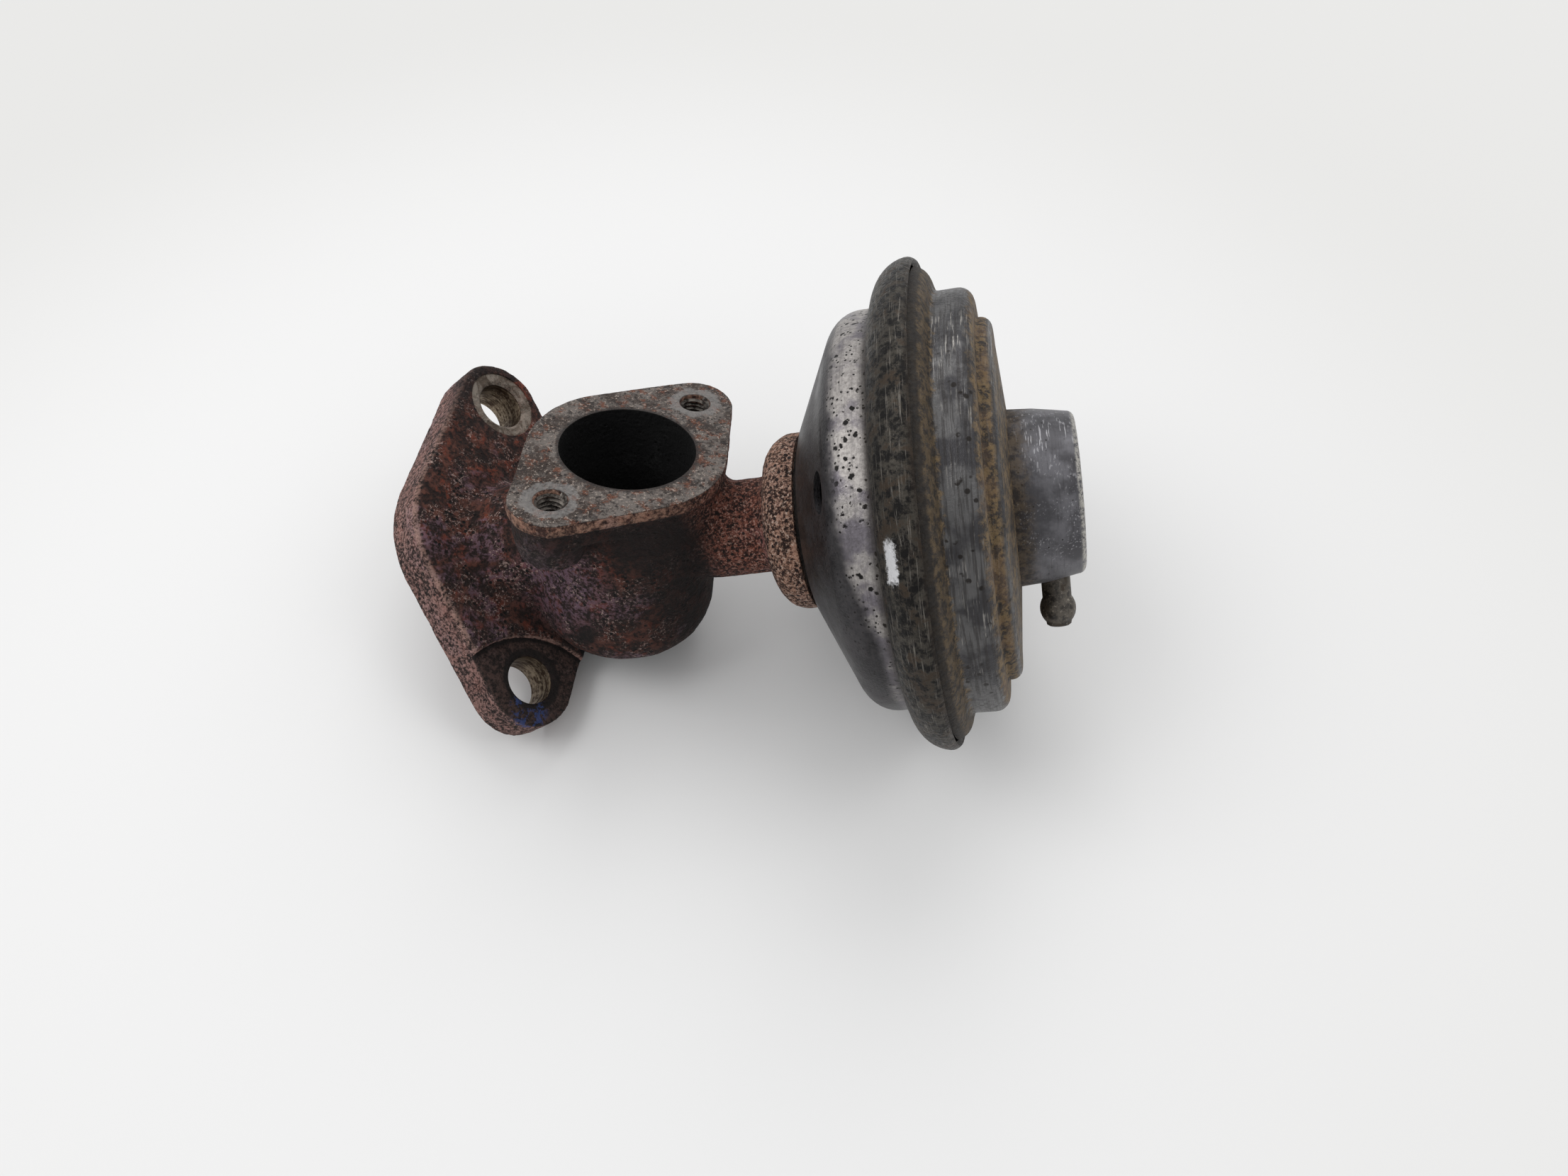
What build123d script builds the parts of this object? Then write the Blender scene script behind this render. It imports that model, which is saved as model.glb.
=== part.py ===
# Vacuum-operated exhaust gas recirculation valve, in millimetres and degrees.
#
# A cast-iron housing joins a skewed two-hole inlet flange to a two-hole outlet flange
# through a poppet valve.  The stem runs out through a neck to a spring-loaded diaphragm
# between two drawn steel shells.  The valve lies as it does on a bench: on the crimped
# rim and on the inlet flange.  The origin is the centre of the outlet bore at its face.
import os
from math import atan2, degrees, sqrt

from build123d import *

# ---------------------------------------------------------------- driving dimensions
stem_rise = 15.1            # climb of the stem towards the cap on the bench
stem_roll = -13.0           # turn of the valve about its stem on the bench
outlet_lean = 20.0          # outlet flange normal, leaning from square to the stem
outlet_height = 24.1        # stem axis to outlet face, along the outlet bore

# outlet flange
outlet_bore_r = 13.6
outlet_bore_depth = 12.0    # machined part of the bore; the cast chamber is below
outlet_cast_step = 0.6      # the cast chamber is this much smaller in radius
outlet_mid_r = 20.0
outlet_ear_r = 8.0
outlet_hole_spacing = 44.6
outlet_hole_turn = 64.0     # hole line, turned about the bore from the stem's direction
outlet_lip = 2.6
outlet_thickness = 6.6
outlet_inset = 0.9
outlet_boss_r = 7.4
outlet_boss_depth = 12.5
tapped_hole_r = 2.55
tapped_hole_depth = 10.0
outlet_edge = 0.5

# chamber and neck
chamber_wall = 6.0
chamber_depth = 23.0        # stem axis to the bottom of the chamber
chamber_corner = 10.5
chamber_floor = 5.0
bore_corner = 7.0
neck_r = 9.9
neck_fillet = 2.5
collar_fillet = 1.5
collar_r = 18.0
collar_start = 34.0
collar_face = 41.3
collar_round = 5.4

# inlet flange
inlet_centre = (-26.3, 3.0, 1.8)
inlet_swing = 9.5
inlet_slope = 28.4
inlet_hole_turn = 129.1
inlet_hole_spacing = 65.4
inlet_hole_r = 5.25
inlet_ear_r = 10.3
inlet_mid_r = 24.2
inlet_thickness = 9.9
inlet_raise = 1.0
inlet_recess = 1.7
inlet_recess_r = 22.0
inlet_recess_centre = 45.4
inlet_port_r = 11.0
inlet_port_depth = 5.5
inlet_edge = 1.6
inlet_pipe_r = 13.2
inlet_pipe_foot_r = 14.5
inlet_pipe_start = -13.0
inlet_pipe_fillet = 3.0
spotface_r = 7.9
spotface_depth = 0.4

# valve seat, poppet and stem
seat_bore_r = 10.2
seat_start = -19.5
seat_length = 4.5
seat_throat_r = 7.4
seat_land = 1.4
poppet_rim = 1.3
poppet_back = 3.0
poppet_gap = 0.05
stem_r = 3.5
stem_spigot_r = 2.5
stem_shoulder_r = 6.0
stem_shoulder = 1.8
valve_lift = 6.0
running_gap = 0.03

# guide and packing
guide_r = 6.0
guide_start = 14.2
guide_length = 19.0
packing_r = 9.0
packing_depth = 7.6
packing_length = 3.6
packing_washer_t = 1.0
retainer_t = 1.2
retainer_r = 8.9
retainer_bore_r = 4.6

# actuator shells
sheet = 1.2
gasket_t = 1.0
gasket_bore_r = 9.6
gasket_r = 16.6
backing_t = 1.2
shell_base_r = 19.4
shell_step = 1.3            # the shell's wall stands this far inside the cover's
shell_cone_top = 53.4
shell_bend = 2.8
rim_r = 48.0
rim_width = 6.9             # from the cover's wall out to the rim's crest
rim_start = 59.6
rim_crest = 6.4             # along the stem, from the rim's start to its widest ring
rim_height = 8.2
rim_roll = 0.7              # how far the rim's free edge turns back in
curl_gap = 0.75
curl_height = 7.9
dish_height = 11.1          # from the rim's start up to the foot of the cover's wall
cover_ledge = 5.9
cover_shoulder = 77.8
cover_step = 79.6
cover_face = 81.8
cap_base_r = 17.4
cap_end_r = 15.7
cap_end = 94.1
cap_flange_r = 21.5
cap_gap = 0.03
vent_width = 7.5
vent_height = 5.3
vent_inset = 5.8            # from the shell's wall in to the middle of a vent
vent_turn = 135.5
vent_count = 2

# fixing screws of the lower shell
screw_count = 3
screw_ring_r = 13.1
screw_r = 2.0
screw_head_r = 3.4
screw_head = 2.6
screw_length = 9.0
screw_gap = 0.1
screw_washer_t = 0.8
screw_washer_r = 3.3
screw_turn = 90.0
hex_key = 3.0

# diaphragm stack
plate_r = 27.0
plate_t = 1.2
plate_face = 61.8
diaphragm_t = 1.5
bead_gap = 0.3              # between the cover's wall line and the bead
bead_rim_gap = 1.7          # between the bead and the inside of the rim
cup_height = 5.2
cup_r = 25.0
stack_washer_t = 1.0
stack_washer_r = 6.5
nut_flats = 8.0
nut_height = 4.0

# spring
spring_r = 12.2
spring_wire = 2.2
spring_turns = 6.0
shim_t = 0.8
shim_r = 14.0
shim_bore_r = 9.0

# vacuum nipple
nipple_station = 88.3
nipple_turn = 240.0
nipple_r = 2.8
nipple_bulb_r = 3.45
nipple_bulb = 22.9
nipple_end = 26.0
nipple_bore_r = 1.4
nipple_root = 13.9

# ---------------------------------------------------------------- where things stand
bench_turn = Location((0, 0, 0), (0, -stem_rise, 0)) * Location((0, 0, 0), (stem_roll, 0, 0))
outlet_frame = bench_turn * Location((0, 0, 0), (0, outlet_lean, 0))
valve_frame = outlet_frame * Location((0, 0, -outlet_height)) * Location((0, 0, 0), (0, -outlet_lean, 0))
valve = Plane(valve_frame)                      # x runs along the stem, y to its side
stem_axis = Axis(valve.origin, valve.x_dir)
outlet = Plane(outlet_frame * Location((0, 0, 0), (0, 0, outlet_hole_turn)))
inlet_level = (
    valve_frame
    * Location(inlet_centre)
    * Location((0, 0, 0), (0, 0, -inlet_swing))
    * Location((0, 0, 0), (0, 90 - inlet_slope, 0))
    * Location((0, 0, inlet_raise))
)
inlet_passage = Plane(inlet_level)              # the inlet flange's face, unturned
inlet = Plane(inlet_level * Location((0, 0, 0), (0, 0, inlet_hole_turn)))
outlet_section = Plane(outlet_frame * Location((0, 0, 0), (90, 0, 0)))
bore_axis = Axis(outlet.origin, outlet.z_dir)
chamber_r = outlet_bore_r + chamber_wall
cast_r = outlet_bore_r - outlet_cast_step
cover_r = rim_r - rim_width
cover_step_r = cover_r - cover_ledge
shell_r = cover_r - shell_step
vent_ring_r = shell_r - vent_inset
bead_inner_r = cover_r + bead_gap
bead_r = rim_r - sheet - bead_rim_gap


def station(distance, turn=0.0, radius=0.0):
    """Plane square to the stem, turned about it and moved outwards, facing the cap."""
    return Plane(
        valve_frame
        * Location((distance, 0, 0), (turn, 0, 0))
        * Location((0, radius, 0))
        * Location((0, 0, 0), (0, 90, 0))
    )


def spoke(distance, turn):
    """Plane on the stem axis whose normal points outwards at the given turn."""
    return Plane(
        valve_frame * Location((distance, 0, 0), (turn, 0, 0)) * Location((0, 0, 0), (-90, 0, 0))
    )


def keep(piece, name):
    """Label a finished piece and write it."""
    piece.part.label = name
    export_step(piece.part, f"parts/{name}.step")


os.makedirs("parts", exist_ok=True)

# ---------------------------------------------------------------- valve housing
seat_end = seat_start + seat_length
packing_floor = collar_face - packing_depth

with BuildPart() as inlet_plate:
    with BuildSketch(inlet):
        Circle(inlet_mid_r)
        with Locations((inlet_hole_spacing / 2, 0), (-inlet_hole_spacing / 2, 0)):
            Circle(inlet_ear_r)
        make_hull()
    extrude(amount=-inlet_thickness)
    fillet(inlet_plate.faces().sort_by(Axis(inlet.origin, inlet.z_dir))[-1].edges(), inlet_edge)

with BuildPart() as inlet_neck:
    add(inlet_plate)
    with BuildSketch(inlet_passage.offset(-inlet_thickness / 2)):
        Circle(inlet_pipe_foot_r)
    with BuildSketch(station(inlet_pipe_start)):
        Circle(inlet_pipe_r)
    loft()
    inlet_axis = Axis(inlet.origin, inlet.z_dir)
    front = inlet_neck.faces().filter_by(inlet_axis).sort_by(inlet_axis)[-1]
    fillet(front.inner_wires()[0].edges(), inlet_pipe_fillet)
    with BuildSketch(station(inlet_pipe_start)):
        Circle(inlet_pipe_r)
    extrude(amount=-inlet_pipe_start)

with BuildPart() as outlet_lip_plate:
    with BuildSketch(outlet):
        Circle(outlet_mid_r)
        with Locations((outlet_hole_spacing / 2, 0), (-outlet_hole_spacing / 2, 0)):
            Circle(outlet_ear_r)
        make_hull()
    extrude(amount=-outlet_lip)
    chamfer(outlet_lip_plate.faces().sort_by(Axis(outlet.origin, outlet.z_dir))[-1].edges(), outlet_edge)

with BuildPart() as chamber:
    # chamber with a rounded bottom, turned about the outlet bore
    foot = -outlet_height - chamber_depth
    with BuildSketch(outlet_section):
        with BuildLine():
            top = Polyline((0, foot), (0, -outlet_lip), (chamber_r, -outlet_lip))
            flank = Line(top @ 1, (chamber_r, foot + chamber_corner))
            ThreePointArc(
                flank @ 1,
                (chamber_r - chamber_corner * (1 - sqrt(0.5)), foot + chamber_corner * (1 - sqrt(0.5))),
                (chamber_r - chamber_corner, foot),
            )
            Line((chamber_r - chamber_corner, foot), (0, foot))
        make_face()
    revolve(axis=bore_axis)
    # neck, filleted into the chamber, and the collar at its end
    with BuildSketch(station(0)):
        Circle(neck_r)
    extrude(amount=collar_start)
    fillet(chamber.edges(Select.NEW), neck_fillet)
    with BuildSketch(valve):
        with BuildLine():
            Polyline((collar_start - collar_fillet, 0), (collar_start - collar_fillet, neck_r))
            RadiusArc(
                (collar_start - collar_fillet, neck_r), (collar_start, neck_r + collar_fillet), collar_fillet
            )
            Line((collar_start, neck_r + collar_fillet), (collar_start, collar_r - collar_round))
            RadiusArc(
                (collar_start, collar_r - collar_round), (collar_start + collar_round, collar_r), collar_round
            )
            Polyline(
                (collar_start + collar_round, collar_r), (collar_face, collar_r), (collar_face, 0),
                (collar_start - collar_fillet, 0),
            )
        make_face()
    revolve(axis=stem_axis)

with BuildPart() as housing:
    add(outlet_lip_plate)
    # skirt under the lip, and bosses for the tapped holes
    with BuildSketch(outlet.offset(-outlet_lip)):
        Circle(outlet_mid_r - outlet_inset)
        with Locations((outlet_hole_spacing / 2, 0), (-outlet_hole_spacing / 2, 0)):
            Circle(outlet_ear_r - outlet_inset)
        make_hull()
    extrude(amount=-(outlet_thickness - outlet_lip))
    with BuildSketch(outlet.offset(-outlet_thickness)):
        with Locations((outlet_hole_spacing / 2, 0), (-outlet_hole_spacing / 2, 0)):
            Circle(outlet_boss_r)
    extrude(amount=-(outlet_boss_depth - outlet_thickness), taper=12)
    add(chamber)
    # inlet pipe, from the stem's line round to the middle of the inlet flange
    add(inlet_neck)
    # machined outlet bore, and below it the cast chamber with a rounded bottom
    with BuildSketch(outlet_section):
        with BuildLine():
            bottom = foot + chamber_floor
            Polyline(
                (cast_r - bore_corner, bottom), (0, bottom), (0, 1), (outlet_bore_r, 1),
                (outlet_bore_r, -outlet_bore_depth), (cast_r, -outlet_bore_depth - outlet_cast_step),
                (cast_r, bottom + bore_corner),
            )
            ThreePointArc(
                (cast_r, bottom + bore_corner),
                (cast_r - bore_corner * (1 - sqrt(0.5)), bottom + bore_corner * (1 - sqrt(0.5))),
                (cast_r - bore_corner, bottom),
            )
        make_face()
    revolve(axis=bore_axis, mode=Mode.SUBTRACT)
    # seat bore along the stem, the cast passage beyond it, and the port in the inlet flange
    with BuildSketch(station(0)):
        Circle(seat_bore_r)
    extrude(amount=seat_start, mode=Mode.SUBTRACT)
    with BuildSketch(inlet_passage.offset(inlet_port_depth - inlet_thickness)):
        Circle(inlet_port_r)
    with BuildSketch(station(seat_start)):
        Circle(seat_bore_r)
    loft(mode=Mode.SUBTRACT)
    with BuildSketch(inlet_passage.offset(-inlet_thickness)):
        Circle(inlet_port_r)
    extrude(amount=inlet_port_depth, mode=Mode.SUBTRACT)
    # guide bore and packing counterbore
    with BuildSketch(station(0)):
        Circle(guide_r)
    extrude(amount=packing_floor + 1, mode=Mode.SUBTRACT)
    with BuildSketch(station(packing_floor)):
        Circle(packing_r)
    extrude(amount=packing_depth, mode=Mode.SUBTRACT)
    # screw holes in the collar face
    for index in range(screw_count):
        with Locations(station(collar_face, screw_turn + index * 360 / screw_count, screw_ring_r)):
            Hole(screw_r, depth=screw_length - sheet - backing_t - gasket_t - screw_washer_t + 1.5)
    # tapped holes of the outlet flange
    with Locations(outlet):
        with Locations((outlet_hole_spacing / 2, 0), (-outlet_hole_spacing / 2, 0)):
            Hole(tapped_hole_r, depth=tapped_hole_depth)
    # recess round the lower inlet ear, spotface on the upper one, stud holes through both
    with BuildSketch(inlet):
        with Locations((-inlet_recess_centre, 0)):
            Circle(inlet_recess_r)
    extrude(amount=-inlet_recess, mode=Mode.SUBTRACT)
    with BuildSketch(inlet):
        with Locations((inlet_hole_spacing / 2, 0)):
            Circle(spotface_r)
    extrude(amount=-spotface_depth, mode=Mode.SUBTRACT)
    for side, drop in ((1, spotface_depth), (-1, inlet_recess)):
        with Locations(inlet.offset(-drop)):
            with Locations((side * inlet_hole_spacing / 2, 0)):
                Hole(inlet_hole_r, depth=inlet_thickness)
keep(housing, "valve_housing")

# ---------------------------------------------------------------- valve seat and poppet
with BuildPart() as seat_ring:
    with BuildSketch(valve):
        with BuildLine():
            Polyline(
                (seat_start, seat_throat_r),
                (seat_start, seat_bore_r),
                (seat_end, seat_bore_r),
                (seat_end, seat_throat_r + seat_land),
                (seat_end - seat_land, seat_throat_r),
                (seat_start, seat_throat_r),
            )
        make_face()
    revolve(axis=stem_axis)
keep(seat_ring, "seat_ring")

poppet_r = seat_throat_r + seat_land + 0.3
poppet_face = seat_end - seat_land + poppet_gap
with BuildPart() as poppet:
    with BuildSketch(valve):
        with BuildLine():
            Polyline(
                (poppet_face - 0.6, stem_r),
                (poppet_face - 0.6, seat_throat_r - 0.6 - poppet_gap),
                (poppet_face + seat_land + 0.3, poppet_r - poppet_gap),
                (poppet_face + seat_land + 0.3 + poppet_rim, poppet_r - poppet_gap),
                (poppet_face + seat_land + poppet_rim + poppet_back, stem_r + 1.5),
                (poppet_face + seat_land + poppet_rim + poppet_back + 1.2, stem_r + 1.5),
                (poppet_face + seat_land + poppet_rim + poppet_back + 1.2, stem_r),
                (poppet_face - 0.6, stem_r),
            )
        make_face()
    revolve(axis=stem_axis)
keep(poppet, "poppet")

stack_face = plate_face + 2 * plate_t + diaphragm_t
nut_face = stack_face + stack_washer_t
stem_foot = poppet_face - 1.6
with BuildPart() as stem:
    with BuildSketch(valve):
        with BuildLine():
            Polyline(
                (stem_foot, 0),
                (stem_foot, stem_r - 0.6),
                (stem_foot + 0.6, stem_r),
                (plate_face - stem_shoulder, stem_r),
                (plate_face - stem_shoulder, stem_shoulder_r),
                (plate_face, stem_shoulder_r),
                (plate_face, stem_spigot_r),
                (nut_face + nut_height + 0.8, stem_spigot_r),
                (nut_face + nut_height + 1.3, stem_spigot_r - 0.5),
                (nut_face + nut_height + 1.3, 0),
                (stem_foot, 0),
            )
        make_face()
    revolve(axis=stem_axis)
keep(stem, "valve_stem")


def ring(start, length, inner, outer):
    """A plain turned ring on the stem axis."""
    with BuildPart() as body:
        with BuildSketch(station(start)):
            Circle(outer)
            Circle(inner, mode=Mode.SUBTRACT)
        extrude(amount=length)
    return body


# ---------------------------------------------------------------- guide and packing
keep(ring(guide_start, guide_length, stem_r + running_gap, guide_r), "guide_bush")
keep(ring(packing_floor, packing_length, stem_r + running_gap, packing_r), "packing_ring")
washer_start = packing_floor + packing_length
keep(ring(washer_start, packing_washer_t, retainer_bore_r - 0.6, packing_r), "packing_washer")
keep(ring(washer_start + packing_washer_t, retainer_t, retainer_bore_r, retainer_r), "packing_retainer")

# ---------------------------------------------------------------- lower shell and its fixings
shell_face = collar_face + gasket_t
backing_face = shell_face + sheet
screw_seat = backing_face + backing_t + screw_washer_t


def screw_stations(distance):
    """One plane for each fixing screw, at the given station."""
    return [station(distance, screw_turn + i * 360 / screw_count, screw_ring_r) for i in range(screw_count)]


def drilled_ring(start, length, inner, outer):
    """A turned ring with a clearance hole for each fixing screw."""
    with BuildPart() as body:
        with BuildSketch(station(start)):
            Circle(outer)
            Circle(inner, mode=Mode.SUBTRACT)
        extrude(amount=length)
        with Locations(*screw_stations(start + length)):
            Hole(screw_r + screw_gap, depth=length)
    return body


keep(drilled_ring(collar_face, gasket_t, gasket_bore_r, gasket_r), "insulating_gasket")
keep(drilled_ring(backing_face, backing_t, gasket_bore_r, gasket_r), "backing_ring")

cone_run = shell_cone_top - shell_bend - shell_face
cone_rise = shell_r - shell_bend * 1.4 - shell_base_r
vent_station = shell_face + cone_run * (vent_ring_r - shell_base_r) / cone_rise


def vent_plane(turn):
    """Plane lying on the cone of the lower shell, x round the shell, facing outwards."""
    lean = degrees(atan2(cone_run, cone_rise))
    return Plane(
        valve_frame
        * Location((vent_station, 0, 0), (turn, 0, 0))
        * Location((0, vent_ring_r, 0))
        * Location((0, 0, 0), (0, 0, -lean))
        * Location((0, 0, 0), (0, -90, 0))
    )


crest = rim_start + rim_crest
rim_end = rim_start + rim_height
with BuildPart() as lower_shell:
    with BuildSketch(valve):
        with BuildLine():
            base = Line((shell_face, gasket_bore_r), (shell_face, shell_base_r))
            cone = Line(base @ 1, (shell_cone_top - shell_bend, shell_r - shell_bend * 1.4))
            bend = ThreePointArc(
                cone @ 1,
                (shell_cone_top - shell_bend * 0.3, shell_r - shell_bend * 0.47),
                (shell_cone_top + shell_bend, shell_r),
            )
            wall = Line(bend @ 1, (rim_start, shell_r))
            turn_up = Line(wall @ 1, (rim_start + 0.3, shell_r + 1.2))
            roll = ThreePointArc(turn_up @ 1, (crest - 4.0, rim_r - 1.9), (crest, rim_r))
            lip = ThreePointArc(roll @ 1, (rim_end - 0.8, rim_r - rim_roll * 0.2), (rim_end, rim_r - rim_roll))
            offset(amount=sheet, side=Side.RIGHT)
        make_face()
    revolve(axis=stem_axis)
    with Locations(*screw_stations(shell_face + sheet)):
        Hole(screw_r + screw_gap, depth=sheet)
    for index in range(vent_count):
        with BuildSketch(vent_plane(vent_turn + index * 360 / vent_count)):
            Ellipse(vent_width / 2, vent_height / 2)
        extrude(amount=3, both=True, mode=Mode.SUBTRACT)
keep(lower_shell, "lower_shell")

# ---------------------------------------------------------------- upper cover
curl_r = rim_r - sheet - curl_gap
dish = rim_start + dish_height
with BuildPart() as upper_cover:
    with BuildSketch(valve):
        with BuildLine():
            face = Line((cover_face, cap_base_r), (cover_step + 1.0, cover_step_r - 2.6))
            brow = ThreePointArc(face @ 1, (cover_step + 0.5, cover_step_r - 0.75), (cover_step - 1.0, cover_step_r))
            riser = Line(brow @ 1, (cover_shoulder, cover_step_r))
            shoulder = Line(riser @ 1, (cover_shoulder, cover_r - 3.0))
            bend = ThreePointArc(shoulder @ 1, (cover_shoulder - 0.75, cover_r - 0.9), (cover_shoulder - 2.8, cover_r))
            wall = Line(bend @ 1, (dish, cover_r))
            slope = Line(wall @ 1, (dish - 0.7, cover_r + 0.45 * (curl_r - cover_r)))
            curl = ThreePointArc(slope @ 1, (dish - 1.6, curl_r - 0.85), (rim_start + curl_height, curl_r))
            offset(amount=sheet, side=Side.LEFT)
        make_face()
    revolve(axis=stem_axis)
    with BuildSketch(station(cover_face)):
        Circle(cap_base_r + cap_gap)
    extrude(amount=-2 * sheet, mode=Mode.SUBTRACT)
keep(upper_cover, "upper_cover")

# ---------------------------------------------------------------- spring cap, nipple and shim
face_fall = (cover_face - cover_step - 1.0) / (cover_step_r - 2.6 - cap_base_r)
face_depth = sheet * sqrt(1 + face_fall**2)
with BuildPart() as spring_cap:
    with BuildSketch(valve):
        with BuildLine():
            flange = Line(
                (cover_face - face_depth - face_fall * (cap_flange_r - cap_base_r), cap_flange_r),
                (cover_face - face_depth, cap_base_r),
            )
            foot = Line(flange @ 1, (cover_face + 4.7, cap_base_r - 0.5))
            side = Line(foot @ 1, (cap_end - 1.4, cap_end_r))
            edge = ThreePointArc(side @ 1, (cap_end - 0.42, cap_end_r - 0.42), (cap_end, cap_end_r - 1.5))
            top = Line(edge @ 1, (cap_end, 0))
            offset(amount=sheet, side=Side.RIGHT)
        make_face()
    revolve(axis=stem_axis)
    with BuildSketch(spoke(nipple_station, nipple_turn).offset(cap_base_r)):
        Circle(nipple_r)
    extrude(amount=-4, mode=Mode.SUBTRACT)
keep(spring_cap, "spring_cap")

with BuildPart() as vacuum_nipple:
    with BuildSketch(Plane(spoke(nipple_station, nipple_turn).origin, x_dir=valve.x_dir,
                           z_dir=spoke(nipple_station, nipple_turn).y_dir)):
        with BuildLine():
            outer = Polyline(
                (nipple_bore_r, -nipple_root),
                (nipple_r, -nipple_root),
                (nipple_r, -nipple_bulb + 2.6),
            )
            bulb = ThreePointArc(outer @ 1, (nipple_bulb_r, -nipple_bulb), (nipple_r - 0.3, -nipple_bulb - 2.2))
            Polyline(
                bulb @ 1,
                (nipple_r - 0.4, -nipple_end + 0.4),
                (nipple_r - 0.8, -nipple_end),
                (nipple_bore_r, -nipple_end),
                (nipple_bore_r, -nipple_root),
            )
        make_face()
    revolve(axis=Axis(spoke(nipple_station, nipple_turn).origin, spoke(nipple_station, nipple_turn).z_dir))
keep(vacuum_nipple, "vacuum_nipple")

shim_start = cap_end - sheet - shim_t
keep(ring(shim_start, shim_t, shim_bore_r, shim_r), "spring_shim")

# ---------------------------------------------------------------- diaphragm stack
hole_r = stem_spigot_r + 0.05
keep(ring(plate_face, plate_t, hole_r, plate_r), "lower_plate")

rubber = plate_face + plate_t
with BuildPart() as diaphragm:
    with BuildSketch(valve):
        with BuildLine():
            flat = Line((rubber, hole_r), (rubber, plate_r + 0.6))
            fold_r = (plate_r + bead_inner_r - 1.4) / 2
            fold = ThreePointArc(flat @ 1, (rubber + 4.2, fold_r), (rubber + 1.0, bead_inner_r - 2.0))
            root = Line(fold @ 1, (rubber + 1.0, bead_inner_r + 1.0))
            offset(amount=diaphragm_t, side=Side.RIGHT)
        make_face()
        with BuildLine():
            Polyline(
                (rubber - 0.9, bead_inner_r),
                (rubber + 0.6, bead_r - 0.7),
                (rubber + 3.4, bead_r),
                (rubber + 5.2, bead_inner_r + 1.4),
                (rubber + 5.6, bead_inner_r),
                (rubber - 0.9, bead_inner_r),
            )
        make_face()
    revolve(axis=stem_axis)
keep(diaphragm, "diaphragm")

cup_floor = rubber + diaphragm_t
with BuildPart() as upper_cup:
    with BuildSketch(valve):
        with BuildLine():
            floor = Line((cup_floor, hole_r), (cup_floor, cup_r - 1.6))
            corner = RadiusArc(floor @ 1, (cup_floor + 1.6, cup_r), 1.6)
            rise = Line(corner @ 1, (cup_floor + cup_height, cup_r + 0.5))
            offset(amount=plate_t, side=Side.RIGHT)
        make_face()
    revolve(axis=stem_axis)
keep(upper_cup, "upper_cup")

keep(ring(stack_face, stack_washer_t, hole_r, stack_washer_r), "stack_washer")

with BuildPart() as stem_nut:
    with BuildSketch(station(nut_face)):
        RegularPolygon(nut_flats / 2, 6, major_radius=False)
        Circle(stem_spigot_r, mode=Mode.SUBTRACT)
    extrude(amount=nut_height)
    with BuildSketch(valve):
        with BuildLine():
            Polyline(
                (nut_face + nut_height - 0.9, nut_flats / 2 + 1.6),
                (nut_face + nut_height, nut_flats / 2 - 0.1),
                (nut_face + nut_height, nut_flats / 2 + 1.6),
                (nut_face + nut_height - 0.9, nut_flats / 2 + 1.6),
            )
        make_face()
    revolve(axis=stem_axis, mode=Mode.SUBTRACT)
keep(stem_nut, "stem_nut")

# ---------------------------------------------------------------- return spring
coil_start = stack_face + spring_wire / 2
coil_end = shim_start - spring_wire / 2
with BuildPart() as return_spring:
    with BuildLine():
        coil = Helix(
            pitch=(coil_end - coil_start) / spring_turns,
            height=coil_end - coil_start,
            radius=spring_r,
            center=station(coil_start).origin,
            direction=valve.x_dir,
        )
    with BuildSketch(Plane(coil @ 0, z_dir=coil % 0)):
        RegularPolygon(spring_wire / 2, 8)
    sweep(path=coil, is_frenet=True)
keep(return_spring, "return_spring")


# ---------------------------------------------------------------- fixing screws
def joined(name, pieces):
    """Write several bodies of one kind as a single part."""
    group = Compound(children=pieces)
    group.label = name
    export_step(group, f"parts/{name}.step")


screws, screw_washers = [], []
for index in range(screw_count):
    turn = screw_turn + index * 360 / screw_count
    with BuildPart() as screw:
        with BuildSketch(station(screw_seat, turn, screw_ring_r)):
            Circle(screw_head_r)
        extrude(amount=screw_head)
        with BuildSketch(station(screw_seat + screw_head, turn, screw_ring_r)):
            RegularPolygon(hex_key / 2, 6, major_radius=False)
        extrude(amount=-1.6, mode=Mode.SUBTRACT)
        with BuildSketch(station(screw_seat, turn, screw_ring_r)):
            Circle(screw_r)
        extrude(amount=-screw_length)
    screws.append(screw.part)
    with BuildPart() as washer:
        with BuildSketch(station(screw_seat, turn, screw_ring_r)):
            Circle(screw_washer_r)
            Circle(screw_r + screw_gap, mode=Mode.SUBTRACT)
        extrude(amount=-screw_washer_t)
    screw_washers.append(washer.part)
joined("shell_screws", screws)
joined("screw_washers", screw_washers)
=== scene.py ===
from cmath import phase
from math import cos, pi, radians, sin, tan

import bpy
from mathutils import Matrix, Vector


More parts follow.
